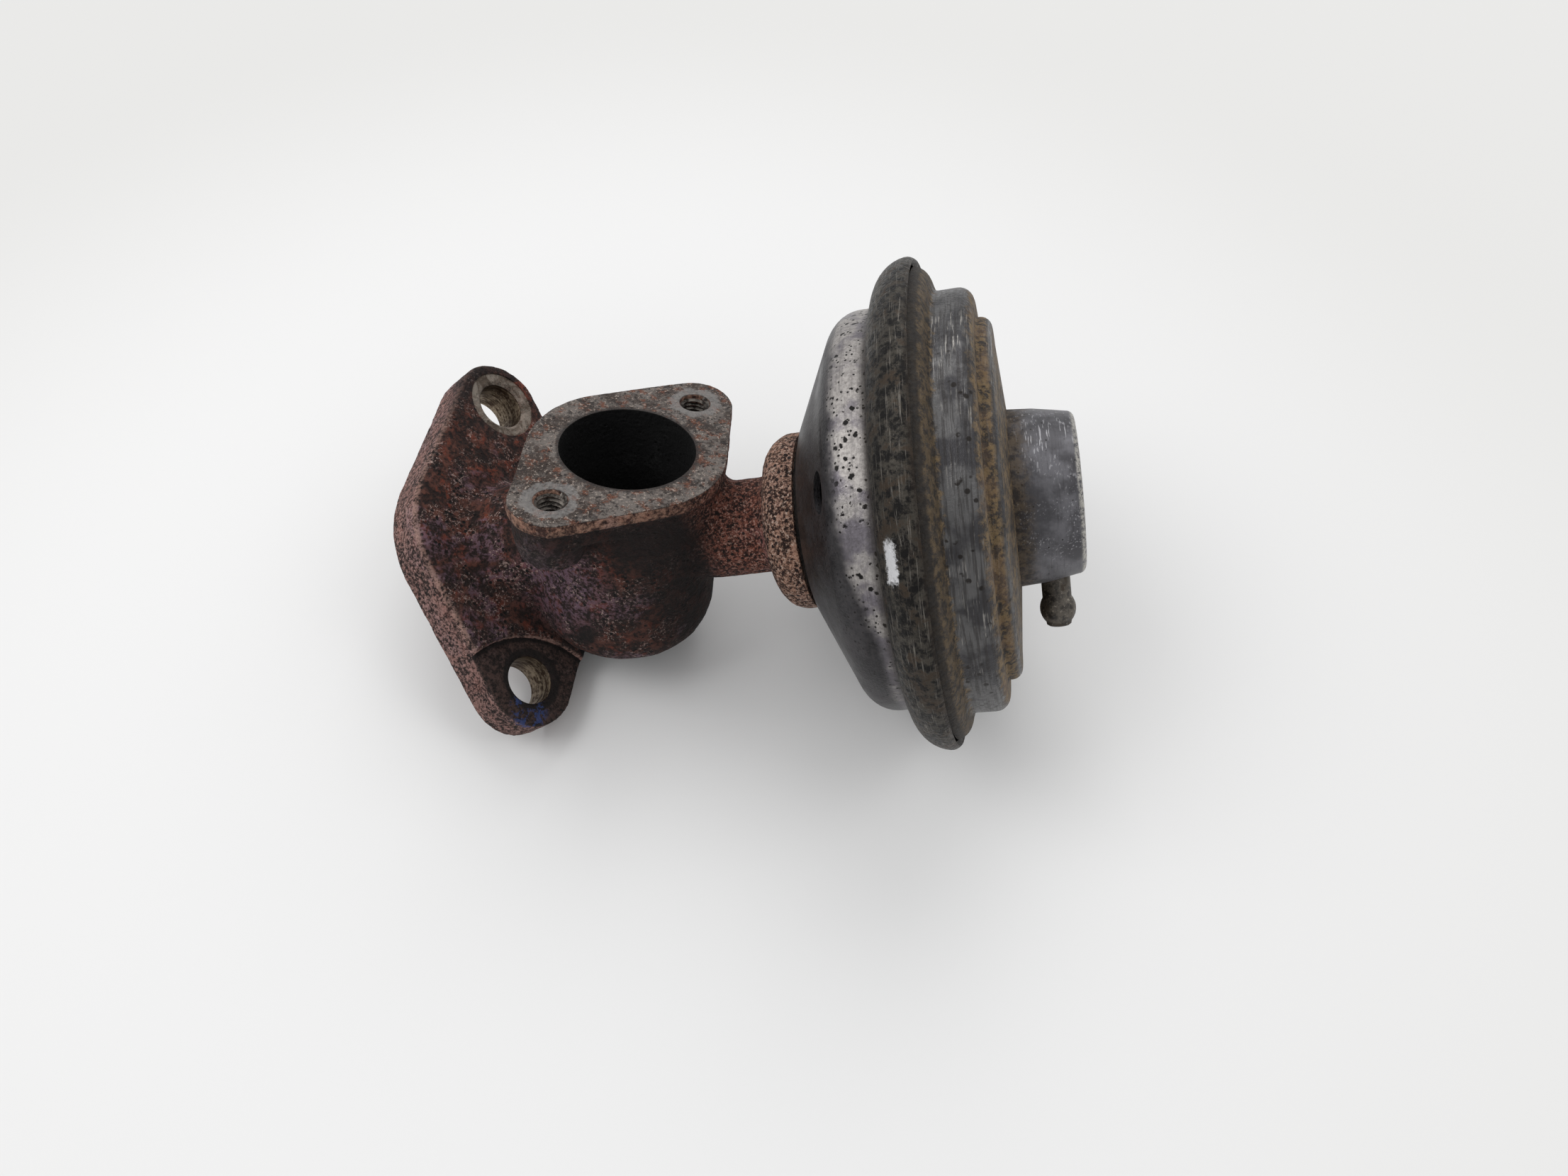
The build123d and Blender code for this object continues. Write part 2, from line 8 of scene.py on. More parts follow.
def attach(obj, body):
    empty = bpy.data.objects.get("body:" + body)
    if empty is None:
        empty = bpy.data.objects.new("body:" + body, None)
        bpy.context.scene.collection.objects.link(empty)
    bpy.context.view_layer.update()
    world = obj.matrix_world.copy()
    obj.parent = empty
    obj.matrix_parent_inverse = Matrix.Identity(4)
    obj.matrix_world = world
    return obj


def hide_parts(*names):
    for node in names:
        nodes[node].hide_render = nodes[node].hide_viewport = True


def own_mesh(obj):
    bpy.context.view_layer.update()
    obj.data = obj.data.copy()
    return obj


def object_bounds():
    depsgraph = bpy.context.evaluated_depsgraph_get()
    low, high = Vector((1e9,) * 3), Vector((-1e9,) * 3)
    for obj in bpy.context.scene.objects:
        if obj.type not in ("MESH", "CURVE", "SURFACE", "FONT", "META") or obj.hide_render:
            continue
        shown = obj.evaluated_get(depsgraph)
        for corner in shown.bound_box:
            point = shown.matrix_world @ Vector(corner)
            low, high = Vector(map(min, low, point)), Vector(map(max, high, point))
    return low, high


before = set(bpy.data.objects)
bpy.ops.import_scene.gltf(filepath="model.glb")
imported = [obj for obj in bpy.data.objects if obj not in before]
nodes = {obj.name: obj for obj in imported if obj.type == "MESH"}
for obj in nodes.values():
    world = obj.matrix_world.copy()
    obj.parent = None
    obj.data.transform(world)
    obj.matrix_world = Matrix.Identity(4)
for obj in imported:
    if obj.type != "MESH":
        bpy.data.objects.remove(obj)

cad_box = [list(corner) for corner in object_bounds()]

# ---------------------------------------------------------------- bench, lamps and camera
# The valve lies on a plain white bench under soft ceiling panels: one behind, one to each
# side.  The bench is only stage.
scene = bpy.context.scene
scene.view_settings.view_transform = "Standard"


def colour(red, green, blue):
    """A screen colour, 0 to 255, as the shader wants it."""
    return tuple(c / 255 / 12.92 if c < 11 else ((c / 255 + 0.055) / 1.055) ** 2.4
                 for c in (red, green, blue)) + (1,)


def new_finish(name, metallic=0.0, roughness=0.6):
    """A material, its shader, and the coordinates its patterns stand on."""
    finish = bpy.data.materials.new(name)
    finish.use_nodes = True
    shader = finish.node_tree.nodes["Principled BSDF"]
    shader.inputs["Metallic"].default_value = metallic
    shader.inputs["Roughness"].default_value = roughness
    return finish, shader, finish.node_tree.nodes.new("ShaderNodeTexCoord").outputs["Object"]


def drive(socket, value):
    """Feed a socket from another one, or set it to a number, a shader colour (4) or a screen colour (3)."""
    if isinstance(value, tuple) and len(value) == 3:
        value = colour(*value)
    if isinstance(value, (int, float, tuple)):
        socket.default_value = value
    else:
        socket.id_data.links.new(value, socket)


def between(value, low, high, start=0.0, end=1.0):
    """Where a value lies between low and high, as a soft step from start to end."""
    node = value.id_data.nodes.new("ShaderNodeMapRange")
    node.interpolation_type = "SMOOTHSTEP"
    for socket, number in (("From Min", low), ("From Max", high), ("To Min", start), ("To Max", end)):
        node.inputs[socket].default_value = number
    drive(node.inputs["Value"], value)
    return node.outputs["Result"]


def worked(operation, first, second):
    """One sum on two sockets, or on a socket and a number."""
    node = first.id_data.nodes.new("ShaderNodeMath")
    node.operation = operation
    drive(node.inputs[0], first)
    drive(node.inputs[1], second)
    return node.outputs[0]


def times(first, second):
    return worked("MULTIPLY", first, second)


def vector_step(operation, first, second=None, scale=None):
    """One sum on vectors, which gives a vector or a number."""
    node = first.id_data.nodes.new("ShaderNodeVectorMath")
    node.operation = operation
    for socket, value in ((0, first), (1, second), ("Scale", scale)):
        if value is not None:
            drive(node.inputs[socket], value)
    return node.outputs["Value" if operation in ("LENGTH", "DOT_PRODUCT") else "Vector"]


def over(mask, under, top):
    """One colour laid over another where the mask is 1."""
    node = mask.id_data.nodes.new("ShaderNodeMix")
    node.data_type = "RGBA"
    for socket, value in ((0, mask), (6, under), (7, top)):
        drive(node.inputs[socket], value)
    return node.outputs[2]


bpy.ops.mesh.primitive_plane_add(size=6.0, location=(0, 0, cad_box[0][2]))
bench = bpy.context.object
bench.name = "bench"
bench_white, shader, where = new_finish("bench_white", roughness=0.75)
shader.inputs["Specular IOR Level"].default_value = 0.2
shader.inputs["Emission Color"].default_value = (0.80, 0.797, 0.785, 1)
# seen by the camera, the far bench fades into an even white backdrop
by_camera = where.id_data.nodes.new("ShaderNodeLightPath").outputs["Is Camera Ray"]
seen = times(between(vector_step("LENGTH", where), 0.11, 0.30), by_camera)
drive(shader.inputs["Base Color"], over(seen, (0.785, 0.783, 0.778, 1), (0, 0, 0, 1)))
drive(shader.inputs["Emission Strength"], seen)
bench.data.materials.append(bench_white)


def ceiling_panel(name, place, size, power):
    """A square soft panel that faces the valve."""
    data = bpy.data.lights.new(name, "AREA")
    data.shape = "SQUARE"
    data.size = size
    data.energy = power
    panel = bpy.data.objects.new(name, data)
    scene.collection.objects.link(panel)
    panel.location = place
    towards_valve = Vector((0.02, 0, -0.02)) - Vector(place)
    panel.rotation_euler = towards_valve.to_track_quat("-Z", "Y").to_euler()


ceiling_panel("panel_back", (0.05, 0.75, 1.0), 0.75, 4.2)
ceiling_panel("panel_left", (-0.70, -0.15, 0.90), 0.65, 4.1)
ceiling_panel("panel_right", (0.80, -0.05, 0.95), 0.65, 1.7)

world = bpy.data.worlds.new("room")
scene.world = world
world.use_nodes = True
wt = world.node_tree
background = wt.nodes["Background"]
background.inputs["Color"].default_value = (0.96, 0.965, 0.975, 1)
path = wt.nodes.new("ShaderNodeLightPath")
level = wt.nodes.new("ShaderNodeMapRange")
level.inputs["To Min"].default_value = 0.71
level.inputs["To Max"].default_value = 0.85
wt.links.new(path.outputs["Is Camera Ray"], level.inputs["Value"])
wt.links.new(level.outputs["Result"], background.inputs["Strength"])

camera_data = bpy.data.cameras.new("camera")
camera = bpy.data.objects.new("camera", camera_data)
scene.collection.objects.link(camera)
scene.camera = camera
camera_data.sensor_width = 36
camera_data.lens = 23.356
camera_data.shift_x = 0.00035
camera_data.shift_y = 0.00277
camera_data.clip_start = 0.005
camera.location = (0.03835, -0.13734, 0.14994)
camera.rotation_euler = (0.61017, -0.01512, 0.06954)

# ---------------------------------------------------------------- valve housing
# One iron casting, rusted all over.  It joins the skewed inlet flange to the outlet flange
# through a round chamber, and its neck ends in the collar that carries the actuator.  The
# bores, the stud holes and the outlet's gasket face are machined after casting.
mm = 0.001


def turned_by(angle, axis):
    return Matrix.Rotation(radians(angle), 4, axis)


def moved_by(x, y, z):
    return Matrix.Translation((x * mm, y * mm, z * mm))


outlet = turned_by(-15.1, "Y") @ turned_by(-13.0, "X") @ turned_by(20.0, "Y")   # z out of the outlet
valve = outlet @ moved_by(0, 0, -24.1) @ turned_by(-20.0, "Y")                  # x along the stem
stem = valve @ turned_by(90, "Y")                                               # z along the stem
outlet_row = outlet @ turned_by(64.0, "Z")                  # x along the outlet's two tapped holes
inlet_level = (
    valve @ moved_by(-26.3, 3.0, 1.8) @ turned_by(-9.5, "Z") @ turned_by(61.6, "Y") @ moved_by(0, 0, 1.0)
)
inlet = inlet_level @ turned_by(129.1, "Z")                 # x along the inlet's two stud holes
inlet_thickness, collar_top = 9.9, 41.3
hole_row, stud_row = 22.3, 32.7                             # half the distance between two holes
bore_radius, chamber_radius = 13.6, 13.0
seat_radius, port_radius = 10.2, 11
stud_radius, spotface_radius, recess_radius = 5.25, 7.9, 22
recess_place = inlet @ moved_by(-45.4, 0, 0)


def pick(piece):
    """Select one piece alone and make it the active one."""
    bpy.ops.object.select_all(action="DESELECT")
    piece.select_set(True)
    bpy.context.view_layer.objects.active = piece


def settle(piece, place):
    """Put a piece where it belongs and leave the place in its mesh."""
    bpy.ops.object.mode_set(mode="OBJECT")
    pick(piece)
    piece.matrix_world = place
    bpy.ops.object.transform_apply(location=True, rotation=True, scale=True)
    return piece


def turned(name, profile, place, segments=64):
    """A turned form: a ring is drawn out and resized from each (distance, radius) to the next."""
    start, size = profile[0]
    bpy.ops.mesh.primitive_circle_add(
        vertices=segments, radius=max(size, 0.01) * mm, location=(0, 0, start * mm)
    )
    piece = bpy.context.object
    piece.name = name
    bpy.ops.object.transform_apply(location=True)
    bpy.ops.object.mode_set(mode="EDIT")
    bpy.ops.mesh.select_all(action="SELECT")
    for (here, size), (there, next_size) in zip(profile, profile[1:]):
        bpy.ops.mesh.extrude_edges_move(TRANSFORM_OT_translate={"value": (0, 0, (there - here) * mm)})
        change = max(next_size, 0.01) / max(size, 0.01)
        bpy.ops.transform.resize(value=(change, change, 1))
    bpy.ops.mesh.select_all(action="SELECT")
    bpy.ops.mesh.remove_doubles(threshold=0.00002)
    bpy.ops.mesh.normals_make_consistent(inside=False)
    return settle(piece, place)


def eased(corners, steps=5):
    """A profile whose corners (distance, radius, easing) are rounded by their easing."""
    points = [tuple(corners[0][:2])]
    for before, corner, after in zip(corners, corners[1:], corners[2:]):
        here = Vector(corner[:2])
        back, ahead = Vector(before[:2]) - here, Vector(after[:2]) - here
        half = back.angle(ahead) / 2
        reach = min(corner[2] / tan(half), 0.48 * min(back.length, ahead.length))
        if reach < 0.02:
            points.append(tuple(here))
            continue
        bend = reach * tan(half)
        centre = here + (back.normalized() + ahead.normalized()).normalized() * (bend / sin(half))
        first = here + back.normalized() * reach - centre
        last = here + ahead.normalized() * reach - centre
        for step in range(steps + 1):
            spoke = first.lerp(last, step / steps).normalized() * bend
            points.append(tuple(centre + spoke))
    points.append(tuple(corners[-1][:2]))
    return points


def smooth(piece, angle):
    pick(piece)
    bpy.ops.object.shade_smooth_by_angle(angle=radians(angle))


def apply(piece, kind, **settings):
    """Add one modifier, set it and apply it."""
    pick(piece)
    modifier = piece.modifiers.new(kind.lower(), kind)
    for setting, value in settings.items():
        setattr(modifier, setting, value)
    bpy.ops.object.modifier_apply(modifier=modifier.name)


def cut(piece, tool):
    """Cut a closed tool out of a piece and throw the tool away."""
    apply(piece, "BOOLEAN", operation="DIFFERENCE", solver="MANIFOLD", object=tool)
    bpy.data.objects.remove(tool, do_unlink=True)


casting = nodes["valve_housing"].copy()
casting.data = nodes["valve_housing"].data.copy()
casting.name = "housing_casting"
casting.parent = None
scene.collection.objects.link(casting)
pick(casting)
bpy.ops.object.mode_set(mode="EDIT")
bpy.ops.mesh.select_all(action="SELECT")
bpy.ops.mesh.remove_doubles(threshold=0.000002)
bpy.ops.object.mode_set(mode="OBJECT")

# three faces (place, height, side, size of the cutter) are cast 0.6 mm proud and faced off below
proud = 0.0006
faced = ((outlet, 0.0, 1, (12, 16, 1)), (inlet, -inlet_thickness, -1, (26, 26, 1)),
         (stem, collar_top, 1, (11, 11, 1)))
for place, height, side, _ in faced:
    up = place.to_3x3().col[2] * side
    level_of_face = place @ Vector((0, 0, height * mm))
    for vertex in casting.data.vertices:
        on_collar = (vertex.co - stem.translation).dot(stem.to_3x3().col[2]) > 0.030
        vertex.select = (vertex.co - level_of_face).dot(up) > -0.00005 and on_collar == (place is stem)
    for edge in casting.data.edges:
        edge.select = all(casting.data.vertices[i].select for i in edge.vertices)
    for face in casting.data.polygons:
        face.select = all(casting.data.vertices[i].select for i in face.vertices)
    bpy.ops.object.mode_set(mode="EDIT")
    bpy.ops.transform.translate(value=up * proud)
    bpy.ops.object.mode_set(mode="OBJECT")

# the rough casting is solid: its holes are filled before its skin is worked
plugs = [
    turned("plug", [(-44, 0), (-44, 9), (-38, 13.8), (0.6, 13.8), (0.6, 0)], outlet),
    turned("plug", [(-27, 0), (-27, 10.6), (0, 10.6), (0, 0)], stem),
    turned("plug", [(0, 0), (0, 6.6), (34, 6.6), (34, 0)], stem),
    turned("plug", [(33, 0), (33, 9.3), (41.9, 9.3), (41.9, 0)], stem),
    turned("plug", [(-10.5, 0), (-10.5, 11.6), (-3.2, 11.6), (-3.2, 0)], inlet_level),
]
for side in (1, -1):
    plugs.append(turned("plug", [(-11, 0), (-11, 3.2), (0.6, 3.2), (0.6, 0)],
                        outlet_row @ moved_by(side * hole_row, 0, 0)))
for side, drop in ((1, 0.4), (-1, 1.7)):
    plugs.append(turned("plug", [(-10.5, 0), (-10.5, 6.3), (-drop, 6.3), (-drop, 0)],
                        inlet @ moved_by(side * stud_row, 0, 0)))
for number in range(3):
    around = stem @ turned_by(number * 120, "Z") @ moved_by(0, 13.1, 0)
    plugs.append(turned("plug", [(36.5, 0), (36.5, 2.1), (41.9, 2.1), (41.9, 0)], around, 24))
pick(casting)
for plug in plugs:
    plug.select_set(True)
bpy.ops.object.join()
apply(casting, "REMESH", mode="VOXEL", voxel_size=0.00052)
apply(casting, "SMOOTH", factor=0.5, iterations=3)
for size, height in ((0.0080, 0.00034), (0.0026, 0.00020), (0.0011, 0.00014)):
    lumps = bpy.data.textures.new("cast_lumps", "CLOUDS")
    lumps.noise_scale = size
    lumps.noise_depth = 2
    apply(casting, "DISPLACE", texture=lumps, texture_coords="LOCAL", strength=height, mid_level=0.5)

for place, height, side, spread in faced:
    bpy.ops.mesh.primitive_cube_add(size=0.004, location=(0, 0, (height + side * 2) * mm))
    block = bpy.context.object
    bpy.ops.object.transform_apply(location=True)
    block.scale = spread
    bpy.ops.object.transform_apply(scale=True)
    cut(casting, settle(block, place))
cut(casting, turned(
    "bore_tool",
    eased([(1, 0, 0), (1, bore_radius, 0), (-12, bore_radius, 0), (-12.6, chamber_radius, 0),
           (-42.1, chamber_radius, 7), (-42.1, 0, 0)]),
    outlet, 128))
cut(casting, turned(
    "stem_tool",
    [(-19.6, 0), (-19.6, seat_radius), (-2, seat_radius), (-2, 6), (33.7, 6), (33.7, 9), (42, 9), (42, 0)],
    stem, 96))
cut(casting, turned(
    "port_tool", [(-10.9, 0), (-10.9, port_radius), (-3.8, port_radius), (-3.8, 0)], inlet_level, 96))
# the passage from the port to the seat starts as a disc, and its far ring is taken to the seat
passage = turned(
    "passage_tool", [(-4.4, 0), (-4.4, port_radius), (-4.3, port_radius), (-4.3, 0)], inlet_level, 96)
plane_up = inlet_level.to_3x3().col[2]
plane_at = inlet_level.translation
far = [v for v in passage.data.vertices if (v.co - plane_at).dot(plane_up) > -0.00435]
near_seat = stem @ moved_by(0, 0, -19)
for vertex in far:
    around = inlet_level.inverted() @ vertex.co
    vertex.co = near_seat @ Vector(
        (around.x * seat_radius / port_radius, around.y * seat_radius / port_radius, 0))
cut(casting, passage)
for side in (1, -1):
    hole = outlet_row @ moved_by(side * hole_row, 0, 0)
    cut(casting, turned(
        "tapped_tool",
        [(1, 0), (1, 4.1), (0, 3.4), (-0.4, 3.05), (-9.4, 3.05), (-10, 2.5), (-10, 0)],
        hole, 48))
for side, drop in ((1, 0.4), (-1, 1.7)):
    hole = inlet @ moved_by(side * stud_row, 0, -drop)
    cut(casting, turned(
        "stud_tool",
        [(1.5, 0), (1.5, 7.0), (0, 6.05), (-0.8, stud_radius), (-12, stud_radius), (-12, 0)],
        hole, 96))
cut(casting, turned(
    "recess_tool", [(3, 0), (3, recess_radius), (-1.62, recess_radius), (-1.62, 0)], recess_place, 128))
cut(casting, turned(
    "spotface_tool", [(3, 0), (3, spotface_radius), (0, spotface_radius), (0, 0)],
    inlet @ moved_by(stud_row, 0, -0.4), 96))
smooth(casting, 50)
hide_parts("valve_housing")
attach(casting, "valve_body")


def noise(where, scale, detail=4.0, rough=0.55, warp=0.0):
    node = where.id_data.nodes.new("ShaderNodeTexNoise")
    for socket, value in (("Scale", scale), ("Detail", detail), ("Roughness", rough), ("Distortion", warp)):
        node.inputs[socket].default_value = value
    drive(node.inputs["Vector"], where)
    return node.outputs["Fac"]


def pits(where, scale):
    node = where.id_data.nodes.new("ShaderNodeTexVoronoi")
    node.inputs["Scale"].default_value = scale
    drive(node.inputs["Vector"], where)
    return node.outputs["Distance"]


def plus(first, second):
    return worked("ADD", first, second)


def less(first, second):
    return worked("SUBTRACT", first, second)


def most(first, second):
    return worked("MAXIMUM", first, second)


def finished(shader, tone, dullness, height, depth, strength):
    """Feed a shader with its colour, its roughness and the relief of its surface."""
    bump = shader.id_data.nodes.new("ShaderNodeBump")
    bump.inputs["Distance"].default_value = depth
    bump.inputs["Strength"].default_value = strength
    drive(bump.inputs["Height"], height)
    drive(shader.inputs["Normal"], bump.outputs["Normal"])
    drive(shader.inputs["Base Color"], tone)
    drive(shader.inputs["Roughness"], dullness)


def new_group(name, inputs, outputs):
    """A node group, the sockets it starts from and the sockets it ends in."""
    group = bpy.data.node_groups.new(name, "ShaderNodeTree")
    for label, kind, value in inputs:
        socket = group.interface.new_socket(label, in_out="INPUT", socket_type="NodeSocket" + kind)
        if value is not None:
            socket.default_value = value
    for label in outputs:
        group.interface.new_socket(label, in_out="OUTPUT", socket_type="NodeSocketFloat")
    return group, group.nodes.new("NodeGroupInput").outputs, group.nodes.new("NodeGroupOutput").inputs


# machining marks the iron by plane and by axis, so one group measures from each
near_axis, given, found = new_group(
    "near_axis",
    [("Where", "Vector", None), ("Point", "Vector", None), ("Direction", "Vector", None),
     ("Radius", "Float", 0.005), ("Softness", "Float", 0.0002)],
    ["Mask", "Distance"])
offset = vector_step("SUBTRACT", given["Where"], given["Point"])
away = vector_step("LENGTH", vector_step("CROSS_PRODUCT", offset, given["Direction"]))
inside = worked("DIVIDE", less(given["Radius"], away), given["Softness"])
drive(found["Mask"], between(inside, -0.5, 0.5))
drive(found["Distance"], away)

past_plane, given, found = new_group(
    "past_plane",
    [("Where", "Vector", None), ("Direction", "Vector", None), ("Distance", "Float", 0.0),
     ("Softness", "Float", 0.0002)],
    ["Mask"])
beyond = less(vector_step("DOT_PRODUCT", given["Where"], given["Direction"]), given["Distance"])
drive(found["Mask"], between(worked("DIVIDE", beyond, given["Softness"]), -0.5, 0.5))


def grouped(group, output, where, **settings):
    """One output of a node group whose other inputs are set."""
    node = where.id_data.nodes.new("ShaderNodeGroup")
    node.node_tree = group
    drive(node.inputs["Where"], where)
    for label, value in settings.items():
        node.inputs[label].default_value = value
    return node.outputs[output]


def round_axis(where, place, radius, softness=0.0002):
    """A mask that is 1 within a radius of a place's z axis."""
    return grouped(near_axis, "Mask", where, Point=place.translation,
                   Direction=place.to_3x3().col[2], Radius=radius, Softness=softness)


def off_axis(where, point, direction):
    """The distance from a line."""
    return grouped(near_axis, "Distance", where, Point=point, Direction=direction)


def off_place(where, place):
    """The distance from a place's z axis."""
    return off_axis(where, place.translation, place.to_3x3().col[2])


def past(where, place, distance, side=1, softness=0.0002):
    """A mask that is 1 beyond a distance along a place's z axis, or along it the other way."""
    up = place.to_3x3().col[2] * side
    return grouped(past_plane, "Mask", where, Direction=up,
                   Distance=place.translation.dot(up) + distance, Softness=softness)


# drilling, turning and drawing leave fine lines round an axis, so one group runs a noise round it
turning_marks, given, found = new_group(
    "turning_marks",
    [("Where", "Vector", None), ("Point", "Vector", None), ("Direction", "Vector", None),
     ("Fineness", "Float", 2500.0), ("Breaks", "Float", 1.5)],
    ["Station", "Radius", "Marks"])
offset = vector_step("SUBTRACT", given["Where"], given["Point"])
lengthways = vector_step("DOT_PRODUCT", offset, given["Direction"])
radial = vector_step("SUBTRACT", offset, vector_step("SCALE", given["Direction"], scale=lengthways))
away = vector_step("LENGTH", radial)
spread = vector_step("SCALE", vector_step("NORMALIZE", radial), scale=given["Breaks"])
ruled = turning_marks.nodes.new("ShaderNodeCombineXYZ")
drive(ruled.inputs[0], times(lengthways, given["Fineness"]))
drive(ruled.inputs[1], times(away, given["Fineness"]))
drive(found["Marks"], noise(vector_step("ADD", ruled.outputs[0], spread), 1.0, 3, 0.6))
drive(found["Station"], lengthways)
drive(found["Radius"], away)


def marks(where, fineness=2500.0, breaks=1.5, output="Marks", place=stem):
    """Fine lines round a place's z axis, or the station along it, or the distance from it."""
    return grouped(turning_marks, output, where, Point=place.translation,
                   Direction=place.to_3x3().col[2], Fineness=fineness, Breaks=breaks)


iron, shader, where = new_finish("rusted_iron", roughness=0.8)
shader.inputs["Specular IOR Level"].default_value = 0.3
patches = noise(where, 85, 4, 0.6, 0.6)
blotches = noise(where, 300, 5, 0.7, 0.8)
grains = plus(times(noise(where, 1150, 4, 0.7), 0.60), times(noise(where, 300, 5, 0.7, 0.5), 0.40))
grit = noise(where, 1700, 3, 0.8)
specks = plus(times(grit, 0.5), times(grains, 0.5))
holes = pits(where, 760)

rust = over(between(grains, 0.42, 0.58), (24, 14, 12), (92, 56, 46))
rust = over(between(blotches, 0.42, 0.58, 0.7, 0), rust, (30, 20, 18))
orange = times(between(noise(where, 260, 6, 0.75), 0.54, 0.62), between(grains, 0.42, 0.56, 0.3, 0.95))
rust = over(orange, rust, (112, 54, 38))
# painted sheen: a purple-grey patch round one point on the chamber's lit front-left side, added to random
# purple-grey patches of the iron's own colour
painted_sheen_patch = grouped(near_axis, "Mask", where, Point=(-0.013, -0.020, -0.021), Direction=(0.0, -0.7, 0.7),
                    Radius=0.0095, Softness=0.010)
patches_and_sheen = most(times(between(patches, 0.52, 0.62), 0.8), painted_sheen_patch)
patches_and_sheen = times(patches_and_sheen, between(grains, 0.45, 0.57))
rust = over(times(patches_and_sheen, 0.8), rust, (106, 84, 100))
light_grains = times(between(grit, 0.55, 0.62), between(noise(where, 200, 4), 0.46, 0.60))
rust = over(times(light_grains, 0.85), rust, (170, 146, 138))
dark_pits = times(between(holes, 0.20, 0.32, 1, 0), between(noise(where, 210, 3), 0.46, 0.58))
rust = over(dark_pits, rust, (10, 7, 7))

# painted shade darkens the underside and the side towards the neck
shade_below = past(where, outlet, 0.0300, side=-1, softness=0.030)
neck_side_shade = times(past(where, stem, 0.0060, softness=0.014),
                  past(where, stem, -0.0230, side=-1, softness=0.010))
neck_side_shade = times(neck_side_shade, past(where, outlet, 0.0040, side=-1, softness=0.004))
shade = most(times(shade_below, 0.35), times(neck_side_shade, 0.85))
rust = over(shade, rust, (18, 12, 11))

# the inlet flange's broad face is darker and browner, with one casting seam across it, a darker
# recess at one end with a painted shadow along its step, and paler edges
flange_face = times(past(where, inlet, -0.0007, softness=0.0008),
                    past(where, inlet, 0.0012, side=-1, softness=0.0015))
brown_face = over(between(grains, 0.44, 0.57), (21, 13, 11), (106, 75, 62))
rust = over(times(flange_face, 0.75), rust, brown_face)
flange_edge = times(past(where, inlet, 0.0008, side=-1, softness=0.0009),
                    past(where, inlet, -0.0110, softness=0.001))
pink_edge = over(between(specks, 0.455, 0.555), (30, 17, 15), (172, 134, 126))
rust = over(times(flange_edge, 0.6), rust, pink_edge)
recess = times(round_axis(where, recess_place, 0.0219), past(where, inlet, -0.0024, softness=0.0006))
recess = times(recess, past(where, inlet, -0.0010, side=-1, softness=0.0004))
dark_brown = over(between(grains, 0.40, 0.64), (19, 14, 12), (48, 37, 32))
rust = over(times(recess, 0.85), rust, dark_brown)
# painted shadow: a near-black ring on the recess floor along the foot of its step
recess_step_shadow = times(recess, between(off_place(where, recess_place), 0.0206, 0.0214))
rust = over(times(recess_step_shadow, 0.9), rust, (14, 9, 8))
ridge = times(past(where, inlet, 0.0004, side=-1, softness=0.0004),
              past(where, inlet, -0.0016, softness=0.0006))
ridge = times(ridge, between(grains, 0.42, 0.54))
ridge = less(ridge, recess)
rust = over(times(ridge, 0.5), rust, (156, 126, 114))
seam = inlet @ moved_by(8.8, 0, 0) @ turned_by(90, "Y")
seam_side = past(where, seam, -0.0002)
seam_back = past(where, seam, 0.0003, side=-1)
seam_line = times(times(seam_side, seam_back), flange_face)
seam_line = times(seam_line, past(where, inlet @ turned_by(-90, "X"), 0.009))

# under the lip the skirt is darkened with painted shade, the neck and collar are redder
under_lip_shade = times(past(where, outlet, 0.0028, side=-1, softness=0.0004),
              past(where, outlet, -0.0125, softness=0.006))
under_lip_shade = times(under_lip_shade, past(where, stem, -0.0300, side=-1, softness=0.004))
rust = over(times(under_lip_shade, 0.75), rust, (20, 12, 11))
lip_edge = times(past(where, outlet, 0.0001, side=-1, softness=0.0002),
                 past(where, outlet, -0.0026, softness=0.0004))
lip_edge = times(lip_edge, past(where, stem, -0.0300, side=-1, softness=0.001))
lip_rust = over(between(grains, 0.42, 0.60), (54, 30, 24), (164, 128, 108))
rust = over(times(lip_edge, 0.7), rust, lip_rust)
neck_red = past(where, stem, 0.0215, softness=0.006)
red_neck = over(between(specks, 0.455, 0.555), (22, 8, 6), (140, 86, 70))
red_neck = over(between(grit, 0.56, 0.63, 0, 0.8), red_neck, (176, 150, 138))
rust = over(times(neck_red, 0.7), rust, red_neck)
collar_end = past(where, stem, 0.0345, softness=0.003)
pale_collar = over(between(specks, 0.455, 0.555), (36, 18, 13), (178, 146, 124))
pale_collar = over(between(grit, 0.56, 0.63, 0, 0.8), pale_collar, (206, 190, 176))
rust = over(times(collar_end, 0.55), rust, pale_collar)
collar_specks = times(neck_red, between(pits(where, 720), 0.22, 0.32, 1, 0))
collar_specks = times(collar_specks, between(noise(where, 300, 3), 0.42, 0.52))
rust = over(collar_specks, rust, (26, 14, 11))

